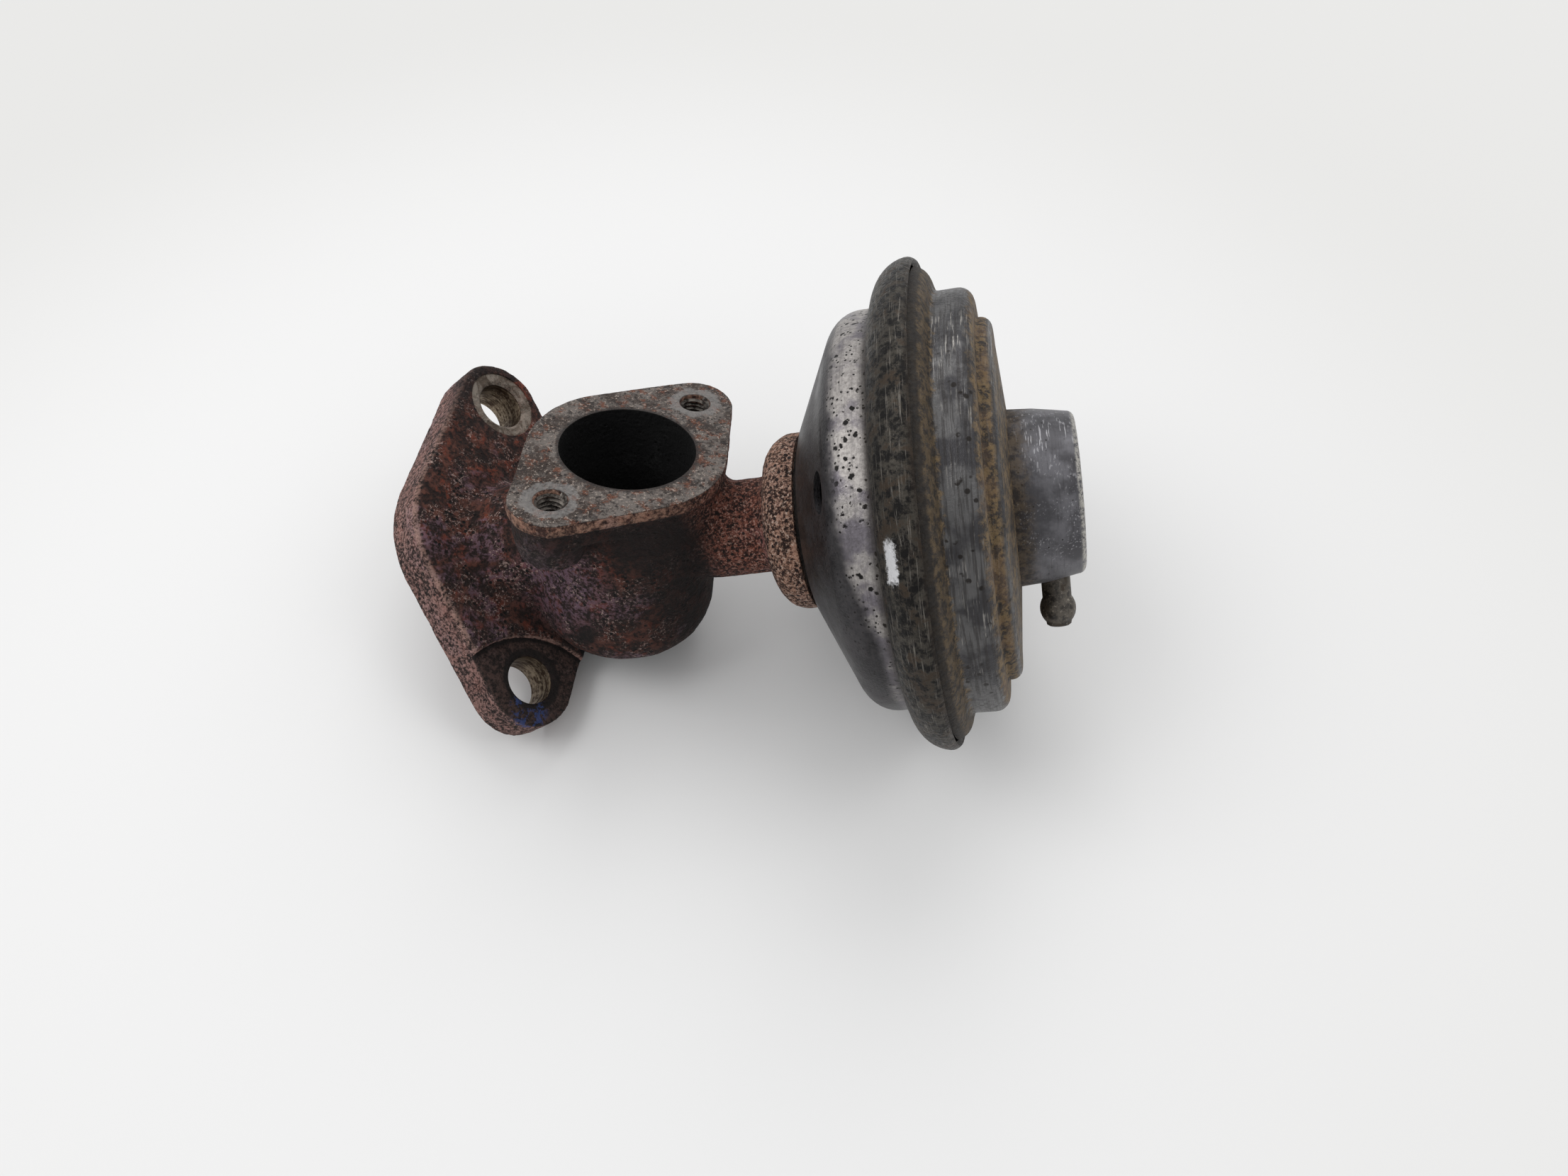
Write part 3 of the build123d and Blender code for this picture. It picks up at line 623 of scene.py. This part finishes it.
# the outlet's gasket face: machined, stained and pitted, worn bright round the two tapped holes
face = times(past(where, outlet, -0.00012, softness=0.0002), past(where, stem, -0.0300, side=-1))
machined = over(between(noise(where, 170, 5, 0.7), 0.42, 0.58), (50, 39, 33), (100, 93, 88))
machined = over(between(noise(where, 420, 4, 0.7), 0.53, 0.61), machined, (92, 54, 37))
machined = over(between(grit, 0.55, 0.64, 0, 0.85), machined, (164, 152, 142))
machined = over(between(grains, 0.42, 0.49, 0.85, 0), machined, (30, 22, 19))
face_pits = times(between(pits(where, 800), 0.18, 0.30, 1, 0), between(noise(where, 330, 3), 0.46, 0.56))
machined = over(times(face_pits, 0.9), machined, (26, 18, 15))
ragged = times(noise(where, 360, 4, 0.7), 0.0042)
for side in (1, -1):
    hole = outlet_row @ moved_by(side * hole_row, 0, 0)
    distance = off_place(where, hole)
    worn = between(plus(distance, ragged), 0.0072, 0.0077, 1, 0)
    worn = times(worn, between(grit, 0.36, 0.52, 0.25, 0.7))
    machined = over(worn, machined, (124, 122, 120))
bore_edge = off_place(where, outlet)
soot_ring = between(plus(bore_edge, times(ragged, 0.35)), 0.0146, 0.0153, 1, 0)
machined = over(times(soot_ring, 0.8), machined, (34, 28, 26))
rust = over(face, rust, machined)

# soot with painted shade, near black, in the gas ways, bare metal in the stud holes and on the upper one's
# spotface
bore = round_axis(where, outlet, 0.01368, 0.0001)
seat_way = round_axis(where, stem, 0.0104, 0.0001)
port_way = times(round_axis(where, inlet_level, 0.01108, 0.0001),
                 past(where, inlet, 0.0040, side=-1, softness=0.0005))
below_face = past(where, outlet, 0.00005, side=-1, softness=0.0001)
before_neck = past(where, stem, -0.014, side=-1, softness=0.0005)
soot_and_shade = most(times(bore, below_face), times(seat_way, before_neck))
soot_and_shade = most(soot_and_shade, port_way)
rust = over(soot_and_shade, rust, (2, 2, 2))
upper_stud, lower_stud = inlet @ moved_by(stud_row, 0, 0), inlet @ moved_by(-stud_row, 0, 0)
bare = most(round_axis(where, upper_stud, 0.00532, 0.0001), round_axis(where, lower_stud, 0.00532, 0.0001))
tool_rings = plus(times(marks(where, 1500, 1.2, place=upper_stud), 0.5),
                  times(marks(where, 1500, 1.2, place=lower_stud), 0.5))
rings = between(tool_rings, 0.42, 0.58)
steel = over(rings, (66, 52, 40), (132, 118, 100))
steel = over(between(blotches, 0.52, 0.62, 0, 0.6), steel, (58, 42, 32))
rust = over(bare, rust, steel)
upper_spot = times(round_axis(where, upper_stud, 0.0078, 0.0003),
                   past(where, inlet, -0.0014, softness=0.0003))
spot = over(between(blotches, 0.40, 0.60), (92, 80, 69), (146, 138, 127))
rust = over(times(less(upper_spot, bare), 0.75), rust, spot)
lower_ring = off_place(where, lower_stud)
dark_ring = times(between(lower_ring, 0.0066, 0.0073, 1, 0), between(lower_ring, 0.0052, 0.0054))
rust = over(times(dark_ring, 0.85), rust, (17, 13, 12))

dullness = over(face, between(patches_and_sheen, 0.0, 1.0, 0.86, 0.52), between(grit, 0.4, 0.6, 0.42, 0.66))
drive(shader.inputs["Metallic"], most(times(bare, 0.85), times(face, 0.25)))
fleck = round_axis(where, inlet @ moved_by(-39.5, 1.5, 0), 0.0042, 0.002)
fleck = times(times(fleck, past(where, inlet, -0.0035)), between(noise(where, 520, 4, 0.7), 0.50, 0.56))
rust = over(times(fleck, 0.7), rust, (52, 70, 120))
lumps = plus(times(grains, 1.1), times(blotches, 1.0))
lumps = less(lumps, times(seam_line, 0.9))
lumps = less(lumps, times(dark_pits, 0.6))
smooth_there = most(face, bare)
lumps = times(lumps, between(smooth_there, 0, 1, 1.0, 0.25))
rust = over(times(seam_line, 0.8), rust, (18, 11, 10))
finished(shader, rust, over(bare, dullness, between(rings, 0, 1, 0.5, 0.3)), lumps, 0.0009, 1.0)
casting.data.materials.clear()
casting.data.materials.append(iron)

# ---------------------------------------------------------------- threads of the outlet flange
# M6 threads cut into the two tapped holes.  Each is one sharp ridge wound up the wall of its
# hole; the iron is bare there and dark with oil.
thread_steel, shader, where = new_finish("oily_thread", metallic=0.8, roughness=0.42)
oil = noise(where, 700, 4, 0.7)
finished(shader, over(between(oil, 0.40, 0.60), (30, 25, 22), (104, 98, 92)), 0.42, oil, 0.0001, 0.6)


def coiled(name, section, stretch, radius, pitch, turns, steps, place):
    """A round section (corners, radius), stretched, set out to a radius and wound up a helix."""
    corners, thickness = section
    bpy.ops.mesh.primitive_circle_add(
        vertices=corners, radius=thickness * mm, fill_type="NGON", location=(0, 0, 0))
    piece = bpy.context.object
    piece.name = name
    bpy.ops.object.mode_set(mode="EDIT")
    bpy.ops.mesh.select_all(action="SELECT")
    bpy.ops.transform.rotate(value=radians(90), orient_axis="X", center_override=(0, 0, 0))
    bpy.ops.transform.resize(value=stretch)
    bpy.ops.transform.translate(value=(radius * mm, 0, 0))
    bpy.ops.object.mode_set(mode="OBJECT")
    apply(piece, "SCREW", axis="Z", screw_offset=pitch * mm, iterations=turns, steps=steps,
          render_steps=steps, use_normal_calculate=True, use_merge_vertices=False)
    bpy.ops.object.mode_set(mode="EDIT")
    bpy.ops.mesh.select_all(action="SELECT")
    bpy.ops.mesh.remove_doubles(threshold=0.000001)
    bpy.ops.mesh.normals_make_consistent(inside=False)
    return settle(piece, place)


for name, side in (("thread_far", 1), ("thread_near", -1)):
    hole_foot = outlet_row @ moved_by(side * hole_row, 0, -9.45)
    ridge = coiled(name, section=(4, 0.42), stretch=(1.3, 1, 0.95), radius=3.08, pitch=1.0, turns=9,
                   steps=40, place=hole_foot)
    ridge.data.materials.append(thread_steel)
    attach(ridge, "valve_body")

# ---------------------------------------------------------------- lower shell
# Drawn from 1.2 mm sheet and zinc plated: a shallow cone with two breather holes.  Its rim is
# rolled out and over the cover's edge, which clamps the diaphragm between them.
sheet = 1.2


def bow(first, middle, last, steps=7):
    """Points of the arc through three points of a profile, the first one left out."""
    a, b, c = complex(*first), complex(*middle), complex(*last)
    w = (c - a) / (b - a)
    centre = a + (b - a) * (w - abs(w) ** 2) / (2j * w.imag)
    spoke, swing = a - centre, (c - centre) / (a - centre)
    through = (b - centre) / (a - centre)
    angle = phase(swing)
    if (phase(through) > 0) != (angle > 0):
        angle += 2 * pi if angle < 0 else -2 * pi
    angles = [angle * n / steps for n in range(1, steps + 1)]
    points = [centre + spoke * complex(cos(turn), sin(turn)) for turn in angles]
    return [(point.real, point.imag) for point in points]


# painted shade: the shells' inner faces are painted near black so their vents look dark inside
shaded_inside_steel, shader, where = new_finish("painted_shade_inside", metallic=0.3, roughness=0.6)
film = noise(where, 220, 4, 0.65)
finished(shader, over(between(film, 0.40, 0.62), (14, 12, 11), (34, 30, 27)),
         between(film, 0.3, 0.7, 0.45, 0.75), film, 0.00012, 0.7)


def drawn(name, line, finish, segments=192):
    """A drawn sheet form: the outer line is turned, then given the sheet's thickness inwards."""
    piece = turned(name, line, stem, segments)
    piece.data.materials.append(finish)
    piece.data.materials.append(shaded_inside_steel)
    middle = stem @ Vector((0, 0, (line[0][0] + line[-1][0]) / 2 * mm))
    outward = sum((face.center - middle).dot(face.normal) * face.area for face in piece.data.polygons)
    if outward < 0:
        bpy.ops.object.mode_set(mode="EDIT")
        bpy.ops.mesh.select_all(action="SELECT")
        bpy.ops.mesh.flip_normals()
        bpy.ops.object.mode_set(mode="OBJECT")
    apply(piece, "SOLIDIFY", thickness=sheet * mm, offset=-1.0, use_even_offset=True, material_offset=1)
    return piece


shell_line = [(42.3, 9.6), (42.3, 18.4)] + bow((42.3, 18.4), (42.45, 19.2), (42.85, 20.5), 4)
shell_line += [(46.7, 28.15), (50.6, 35.88)] + bow((50.6, 35.88), (52.56, 38.48), (56.2, 39.8))
shell_line += [(59.0, 39.8)] + bow((59.0, 39.8), (59.6, 40.05), (59.9, 41.0), 4)
shell_line += bow((59.9, 41.0), (62.0, 46.1), (66.0, 48.0), 10)
shell_line += bow((66.0, 48.0), (67.0, 47.86), (67.8, 47.3), 4)
zinc, shader, where = new_finish("dull_zinc", metallic=0.7, roughness=0.42)
shell = drawn("shell_cone", shell_line, zinc)
vent_lean = 26.73
for vent_turn in (135.5, 315.5):
    bpy.ops.mesh.primitive_cylinder_add(vertices=48, radius=3.75 * mm, depth=8 * mm)
    punch = bpy.context.object
    punch.scale = (1, 5.3 / 7.5, 1)
    bpy.ops.object.transform_apply(scale=True)
    around_shell = valve @ moved_by(49.65, 0, 0) @ turned_by(vent_turn, "X") @ moved_by(0, 34.0, 0)
    cut(shell, settle(punch, around_shell @ turned_by(-vent_lean, "Z") @ turned_by(-90, "Y")))

# the rim took a knock that left a bright flat on its edge
knock = valve @ Vector((62.4 * mm, -41.5 * mm, 21.0 * mm))
stem_line = stem.to_3x3().col[2]
inward = (valve @ Vector((60 * mm, 0, 0)) - knock).normalized()
for vertex in shell.data.vertices:
    reach = (vertex.co - knock).length
    if reach < 0.006 and (vertex.co - stem.translation).dot(stem_line) > 0.0597:
        vertex.co += (stem_line * 0.4 + inward * 0.6) * 0.0006 * (1 - reach / 0.006) ** 1.5
smooth(shell, 40)
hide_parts("lower_shell")
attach(shell, "valve_body")

# dull zinc on the cone, a pale band where it meets the rim, carried further down on the lit side as painted
# light, black spots, and a dirty scuffed rim
station = marks(where, output="Station")
radius = marks(where, output="Radius")
lines = marks(where, 2200, 2.5)
scratches = marks(where, 3800, 8)
clouds = noise(where, 120, 4, 0.6)
grain = noise(where, 1600, 3, 0.7)
dull = over(between(clouds, 0.42, 0.58), (36, 35, 37), (60, 58, 60))
pale = over(between(clouds, 0.42, 0.58), (118, 113, 119), (172, 167, 163))
# painted light: the pale band reaches further down the cone on the lit side
lit_side = past(where, outlet, 0.0060, softness=0.024)
wander = plus(station, times(clouds, 0.003))
wander = plus(wander, times(lit_side, 0.0045))
band = between(wander, 0.0580, 0.0606)
plated = over(band, dull, pale)
plated = over(between(grain, 0.40, 0.62, 0, 0.35), plated, (66, 62, 62))
plated = over(between(lines, 0.50, 0.66, 0, 0.25), plated, (60, 58, 60))
ragged = times(noise(where, 1500, 3), 0.5)
spots = plus(pits(where, 560), ragged)
black = times(between(spots, 0.44, 0.52, 1, 0), between(noise(where, 150, 4, 0.7), 0.44, 0.50))
upper_side = past(where, outlet, -0.0140, softness=0.034)
black = times(black, between(upper_side, 0, 1, 0.25, 1.0))
black = times(black, between(band, 0, 1, 0.35, 1.0))
small_spots = plus(pits(where, 1100), ragged)
small_black = times(between(small_spots, 0.44, 0.54, 1, 0), between(noise(where, 240, 4, 0.7), 0.44, 0.52))
plated = over(most(black, small_black), plated, (20, 18, 17))
rim = times(between(station, 0.0594, 0.0600), between(radius, 0.0398, 0.0404))
rim_colour = over(between(noise(where, 520, 5, 0.75), 0.42, 0.58), (15, 13, 12), (64, 60, 54))
rim_colour = over(between(scratches, 0.58, 0.66, 0, 0.55), rim_colour, (122, 117, 110))
rim_dirt = between(noise(where, 260, 6, 0.75), 0.52, 0.62, 0, 0.7)
rim_colour = over(rim_dirt, rim_colour, (54, 41, 29))
plated = over(rim, plated, rim_colour)
root_dirt = times(between(station, 0.0578, 0.0596), between(radius, 0.0425, 0.0405))
plated = over(times(root_dirt, 0.8), plated, (34, 28, 22))
rim_edge = between(plus(station, times(clouds, 0.002)), 0.0678, 0.0690)
plated = over(times(rim_edge, 0.5), plated, (44, 34, 26))
round_rim = stem_line.cross(inward)
off_knock = off_axis(where, knock, round_rim)
rubbed = between(plus(off_knock, times(grain, 0.0020)), 0.0019, 0.0025, 1, 0)
off_knock = off_axis(where, knock, inward)
rubbed = times(rubbed, between(plus(off_knock, times(grain, 0.0030)), 0.0042, 0.0056, 1, 0))
plated = over(rubbed, plated, (206, 206, 208))
dirt_gloss = between(clouds, 0.35, 0.65, 0.34, 0.50)
bumps = plus(times(lines, 0.35), times(grain, 0.65))
bumps = less(bumps, times(black, 0.5))
finished(shader, plated, over(rim, dirt_gloss, between(grain, 0.3, 0.7, 0.40, 0.66)), bumps, 0.00018, 0.9)

# ---------------------------------------------------------------- upper cover
# The second drawn shell.  Its edge is held in the rolled rim, and two steps bring it in to
# the hole that the spring cap stands through.  Brown dirt has settled in every corner.
cover_line = [(81.8, 17.4), (80.95, 28.1), (80.6, 32.6)] + bow((80.6, 32.6), (80.1, 34.45), (78.6, 35.2))
cover_line += bow((78.6, 35.2), (77.95, 35.38), (77.8, 36.0), 4) + [(77.8, 38.1)]
cover_line += bow((77.8, 38.1), (77.05, 40.2), (75.0, 41.1)) + [(73.0, 41.1), (71.4, 41.1)]
cover_line += bow((71.4, 41.1), (70.8, 41.35), (70.5, 42.0), 4) + [(70.05, 43.3)]
cover_line += bow((70.05, 43.3), (69.1, 45.2), (67.5, 46.05))
brushed, shader, where = new_finish("brushed_drawn_steel", metallic=0.7, roughness=0.42)
cover = drawn("cover_dish", cover_line, brushed)
smooth(cover, 40)
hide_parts("upper_cover")
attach(cover, "valve_body")

station = marks(where, output="Station")
radius = marks(where, output="Radius")
lines = marks(where, 2400, 5.0)
scratches = marks(where, 4000, 7)
clouds = noise(where, 120, 4, 0.6)
grain = noise(where, 1500, 3, 0.7)
steel = over(between(clouds, 0.42, 0.58), (60, 59, 61), (92, 91, 91))
steel = over(between(lines, 0.46, 0.60, 0, 0.6), steel, (46, 43, 42))
rubbed = times(between(scratches, 0.56, 0.63), between(noise(where, 100, 4, 0.65), 0.45, 0.58))
steel = over(times(rubbed, 0.6), steel, (170, 166, 160))
stains = times(between(pits(where, 520), 0.20, 0.30, 1, 0), between(noise(where, 130, 4, 0.7), 0.48, 0.54))
steel = over(times(stains, 0.9), steel, (30, 26, 23))
ragged = times(noise(where, 380, 5, 0.75), 0.0044)
wall_foot = between(plus(station, ragged), 0.0724, 0.0736, 1, 0)
groove = between(plus(station, times(ragged, 0.3)), 0.0694, 0.0700, 1, 0)
step_foot = times(between(less(station, ragged), 0.0742, 0.0756), between(radius, 0.0342, 0.0350))
crown = between(plus(radius, ragged), 0.0350, 0.0366, 1, 0)
slope = times(between(radius, 0.0412, 0.0420), between(station, 0.0716, 0.0712))
crown = times(crown, between(noise(where, 240, 5, 0.7), 0.38, 0.60, 0.45, 0.95))
near_cap = between(plus(radius, ragged), 0.0206, 0.0225, 1, 0)
dirt = most(most(wall_foot, times(step_foot, 0.95)), most(crown, near_cap))
brown = over(between(noise(where, 620, 5, 0.75), 0.43, 0.57), (34, 26, 18), (120, 98, 64))
brown = over(times(step_foot, between(clouds, 0.42, 0.56, 0, 0.4)), brown, (104, 76, 48))
steel = over(times(dirt, 0.85), steel, brown)
rim_side = over(between(noise(where, 520, 5, 0.75), 0.42, 0.58), (24, 19, 15), (66, 56, 46))
steel = over(times(slope, 0.6), steel, rim_side)
steel = over(times(groove, 0.85), steel, (22, 17, 13))
drive(shader.inputs["Metallic"], between(dirt, 0, 1, 0.75, 0.1))
bumps = plus(times(lines, 0.5), times(grain, 0.6))
bumps = plus(bumps, times(times(dirt, grain), 0.7))
dullness = over(dirt, between(grain, 0.3, 0.7, 0.34, 0.50), between(grain, 0.3, 0.7, 0.66, 0.86))
finished(shader, steel, dullness, bumps, 0.00020, 0.9)

# ---------------------------------------------------------------- spring cap
# A deep-drawn cup whose flange sits under the cover; it holds the return spring.  Smooth grey
# steel, scratched crosswise near the closed end and dirty at the root.
cap_line = [(80.27, 21.5), (80.6, 17.4), (86.5, 16.9), (90.2, 16.2), (92.7, 15.7)]
cap_line += bow((92.7, 15.7), (93.68, 15.28), (94.1, 14.2)) + [(94.1, 9.0), (94.1, 4.0), (94.1, 0)]
grey, shader, where = new_finish("smooth_cap_steel", metallic=0.65, roughness=0.4)
cap = drawn("cap_cup", cap_line, grey)
nipple_radius, nipple_bore = 2.8, 1.4
nipple_place = valve @ moved_by(88.3, 0, 0) @ turned_by(240, "X") @ turned_by(-90, "X")
cut(cap, turned(
    "nipple_hole", [(11, 0), (11, nipple_radius), (20, nipple_radius), (20, 0)], nipple_place, 64))
smooth(cap, 40)
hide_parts("spring_cap")
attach(cap, "valve_body")

station = marks(where, output="Station")
radius = marks(where, output="Radius")
lines = marks(where, 2600, 3.0)
clouds = noise(where, 140, 4, 0.6)
grain = noise(where, 1500, 3, 0.7)
tone = over(between(clouds, 0.40, 0.60), (72, 71, 74), (106, 105, 109))
lengthways = where.id_data.nodes.new("ShaderNodeMapping")
lengthways.inputs["Rotation"].default_value = (0.3, 0.1, 0.7)
lengthways.inputs["Scale"].default_value = (2600, 230, 2600)
drive(lengthways.inputs["Vector"], where)
cross_scratches = noise(lengthways.outputs["Vector"], 1.0, 2, 0.5)
scratched = times(between(cross_scratches, 0.60, 0.66), between(noise(where, 110, 3), 0.44, 0.56))
tone = over(times(scratched, 0.6), tone, (168, 167, 170))
tone = over(between(lines, 0.52, 0.66, 0, 0.3), tone, (56, 54, 56))
specks = times(between(pits(where, 900), 0.12, 0.20, 1, 0), between(noise(where, 210, 4), 0.52, 0.60))
tone = over(specks, tone, (26, 24, 23))
ragged = times(noise(where, 380, 5, 0.75), 0.0060)
root = between(plus(station, ragged), 0.0852, 0.0895, 1, 0)
grime = over(between(noise(where, 560, 5, 0.75), 0.42, 0.58), (44, 36, 29), (92, 78, 60))
tone = over(times(root, 0.75), tone, grime)
corner = times(between(station, 0.0930, 0.0936), between(radius, 0.0140, 0.0148))
tone = over(times(corner, between(grain, 0.35, 0.60)), tone, (172, 169, 162))
bumps = plus(times(lines, 0.35), times(grain, 0.5))
dullness = over(root, between(clouds, 0.35, 0.65, 0.38, 0.52), (0.7, 0.7, 0.7, 1))
finished(shader, tone, dullness, bumps, 0.00014, 0.8)

# ---------------------------------------------------------------- vacuum nipple
# A turned steel tube brazed into the cap's side.  The vacuum hose grips behind the bulb at
# its end.
nipple_line = [(13.9, nipple_bore), (13.9, nipple_radius), (20.3, nipple_radius)]
nipple_line += bow((20.3, nipple_radius), (22.9, 3.45), (25.1, 2.5), 10)
nipple_line += [(25.7, 2.38), (26.0, 2.0), (26.0, nipple_bore), (13.9, nipple_bore)]
nipple = turned("hose_nipple", nipple_line, nipple_place, 72)
smooth(nipple, 40)
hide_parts("vacuum_nipple")
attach(nipple, "valve_body")

worn, shader, where = new_finish("worn_nipple_steel", metallic=0.7, roughness=0.5)
wear = noise(where, 520, 5, 0.7)
tube = over(between(wear, 0.38, 0.60), (56, 53, 50), (104, 98, 90))
tube = over(between(noise(where, 1500, 3, 0.7), 0.58, 0.68, 0, 0.8), tube, (164, 156, 144))
tube = over(between(noise(where, 260, 4), 0.52, 0.62, 0, 0.7), tube, (52, 42, 32))
finished(shader, tube, between(wear, 0.3, 0.7, 0.38, 0.66), wear, 0.00018, 0.9)
nipple.data.materials.clear()
nipple.data.materials.append(worn)

# ---------------------------------------------------------------- valve, seat and stem
# The poppet rides on a ground stem and closes on a turned ring pressed into the inlet pipe.
# Exhaust soot covers all that the gas touches.


def dress(names, finish):
    """Give carried-over nodes a finish in place of the plain one they came with."""
    for name in names:
        node = nodes[name]
        node.data.materials.clear()
        node.data.materials.append(finish)


sooty, shader, where = new_finish("sooty_steel", metallic=0.4, roughness=0.7)
soot_cover = noise(where, 380, 5, 0.7)
rings = marks(where, 3000, 1.0)
tone = over(between(soot_cover, 0.44, 0.64), (17, 16, 15), (66, 58, 51))
tone = over(between(rings, 0.52, 0.64, 0, 0.5), tone, (34, 30, 27))
finished(shader, tone, between(soot_cover, 0.3, 0.7, 0.86, 0.5), plus(soot_cover, rings), 0.00016, 0.8)
dress(("seat_ring", "poppet"), sooty)

ground, shader, where = new_finish("ground_stem", metallic=0.9, roughness=0.3)
station = marks(where, output="Station")
rings = marks(where, 4200, 0.8)
blued = noise(where, 260, 4, 0.6)
tone = over(between(blued, 0.40, 0.62), (126, 122, 116), (160, 157, 152))
tone = over(between(rings, 0.50, 0.66, 0, 0.4), tone, (90, 86, 82))
gas_end = between(plus(station, times(blued, 0.006)), 0.0120, 0.0200, 1, 0)
tone = over(times(gas_end, 0.88), tone, (26, 22, 19))
finished(shader, tone, between(plus(gas_end, times(rings, 0.3)), 0, 1.3, 0.22, 0.72), rings, 0.00006, 0.6)
dress(("valve_stem",), ground)

# ---------------------------------------------------------------- guide and packing
# A grey-iron bush guides the stem.  Above it, graphite packing under a washer and a pressed
# retainer keeps exhaust gas out of the actuator.
bush, shader, where = new_finish("turned_grey_iron", metallic=0.6, roughness=0.5)
rings = marks(where, 2600, 0.8)
flakes = noise(where, 1300, 4, 0.7)
tone = over(between(rings, 0.40, 0.62), (66, 62, 58), (98, 94, 90))
tone = over(between(flakes, 0.56, 0.68, 0, 0.7), tone, (36, 33, 31))
finished(shader, tone, between(flakes, 0.3, 0.7, 0.42, 0.66), plus(rings, flakes), 0.0001, 0.7)
dress(("guide_bush",), bush)

graphite, shader, where = new_finish("pressed_graphite", roughness=0.55)
wound = marks(where, 1500, 2.0)
dust = noise(where, 1600, 4, 0.7)
tone = over(between(wound, 0.40, 0.62), (34, 34, 35), (62, 62, 64))
finished(shader, over(between(dust, 0.58, 0.70, 0, 0.6), tone, (96, 96, 98)),
         between(dust, 0.3, 0.7, 0.42, 0.64), plus(wound, dust), 0.00012, 0.8)
dress(("packing_ring",), graphite)

plated_parts, shader, where = new_finish("plated_washer", metallic=0.8, roughness=0.4)
passivated = noise(where, 240, 4, 0.6)
rings = marks(where, 2600, 3.0)
tone = over(between(passivated, 0.40, 0.62), (142, 138, 126), (178, 176, 168))
tone = over(between(rings, 0.54, 0.68, 0, 0.5), tone, (104, 100, 92))
white_rust = times(between(noise(where, 900, 5, 0.7), 0.56, 0.66), 0.6)
finished(shader, over(white_rust, tone, (202, 202, 198)), between(passivated, 0.3, 0.7, 0.3, 0.52),
         plus(rings, passivated), 0.00008, 0.7)
dress(("packing_washer", "packing_retainer", "backing_ring", "screw_washers", "shell_screws"), plated_parts)

# ---------------------------------------------------------------- insulating gasket
# A ring of pressed fibre that keeps the collar's heat from the shell.  The three shell screws
# clamp it between them, and only its dark edge shows.
fibre, shader, where = new_finish("dark_fibre", roughness=0.9)
strands = noise(where, 900, 5, 0.75, 1.2)
tone = over(between(strands, 0.40, 0.62), (26, 23, 21), (52, 44, 38))
finished(shader, tone, between(strands, 0.3, 0.7, 0.95, 0.78), strands, 0.00016, 0.9)
dress(("insulating_gasket",), fibre)

# ---------------------------------------------------------------- diaphragm stack and spring
# Fabric-backed rubber clamped between a plate and a cup on the stem's spigot, with the spring
# on top.  All of it is closed in by the two shells.
rubber, shader, where = new_finish("fabric_backed_rubber", roughness=0.7)
cloth = marks(where, 1400, 60)
bloom = noise(where, 220, 4, 0.6)
tone = over(between(cloth, 0.42, 0.60), (26, 26, 27), (46, 45, 45))
tone = over(between(bloom, 0.52, 0.66, 0, 0.5), tone, (74, 72, 70))
finished(shader, tone, between(bloom, 0.3, 0.7, 0.6, 0.8), cloth, 0.00014, 0.8)
dress(("diaphragm",), rubber)

pressed, shader, where = new_finish("pressed_plate_steel", metallic=0.8, roughness=0.4)
rings = marks(where, 1800, 3.0)
oil = noise(where, 180, 4, 0.6)
tone = over(between(oil, 0.40, 0.62), (120, 117, 112), (152, 150, 146))
tone = over(between(rings, 0.52, 0.66, 0, 0.45), tone, (88, 85, 80))
finished(shader, tone, between(oil, 0.3, 0.7, 0.28, 0.5), rings, 0.00008, 0.7)
dress(("lower_plate", "upper_cup", "stack_washer", "stem_nut", "spring_shim"), pressed)

wire, shader, where = new_finish("oiled_spring_wire", metallic=0.85, roughness=0.35)
film = noise(where, 420, 4, 0.65)
drawn_lines = noise(where, 1800, 3, 0.6)
tone = over(between(film, 0.42, 0.60), (84, 82, 84), (128, 127, 130))
finished(shader, over(between(drawn_lines, 0.56, 0.68, 0, 0.5), tone, (60, 52, 44)),
         between(film, 0.3, 0.7, 0.26, 0.44), drawn_lines, 0.00006, 0.6)
spring = coiled("spring_coil", section=(16, 1.1), stretch=(1, 1, 1), radius=12.2, pitch=24.2 / 6, turns=6,
                steps=48, place=stem @ moved_by(0, 0, 66.8))
smooth(spring, 60)
spring.data.materials.append(wire)
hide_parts("return_spring")
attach(spring, "valve_body")
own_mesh(spring)
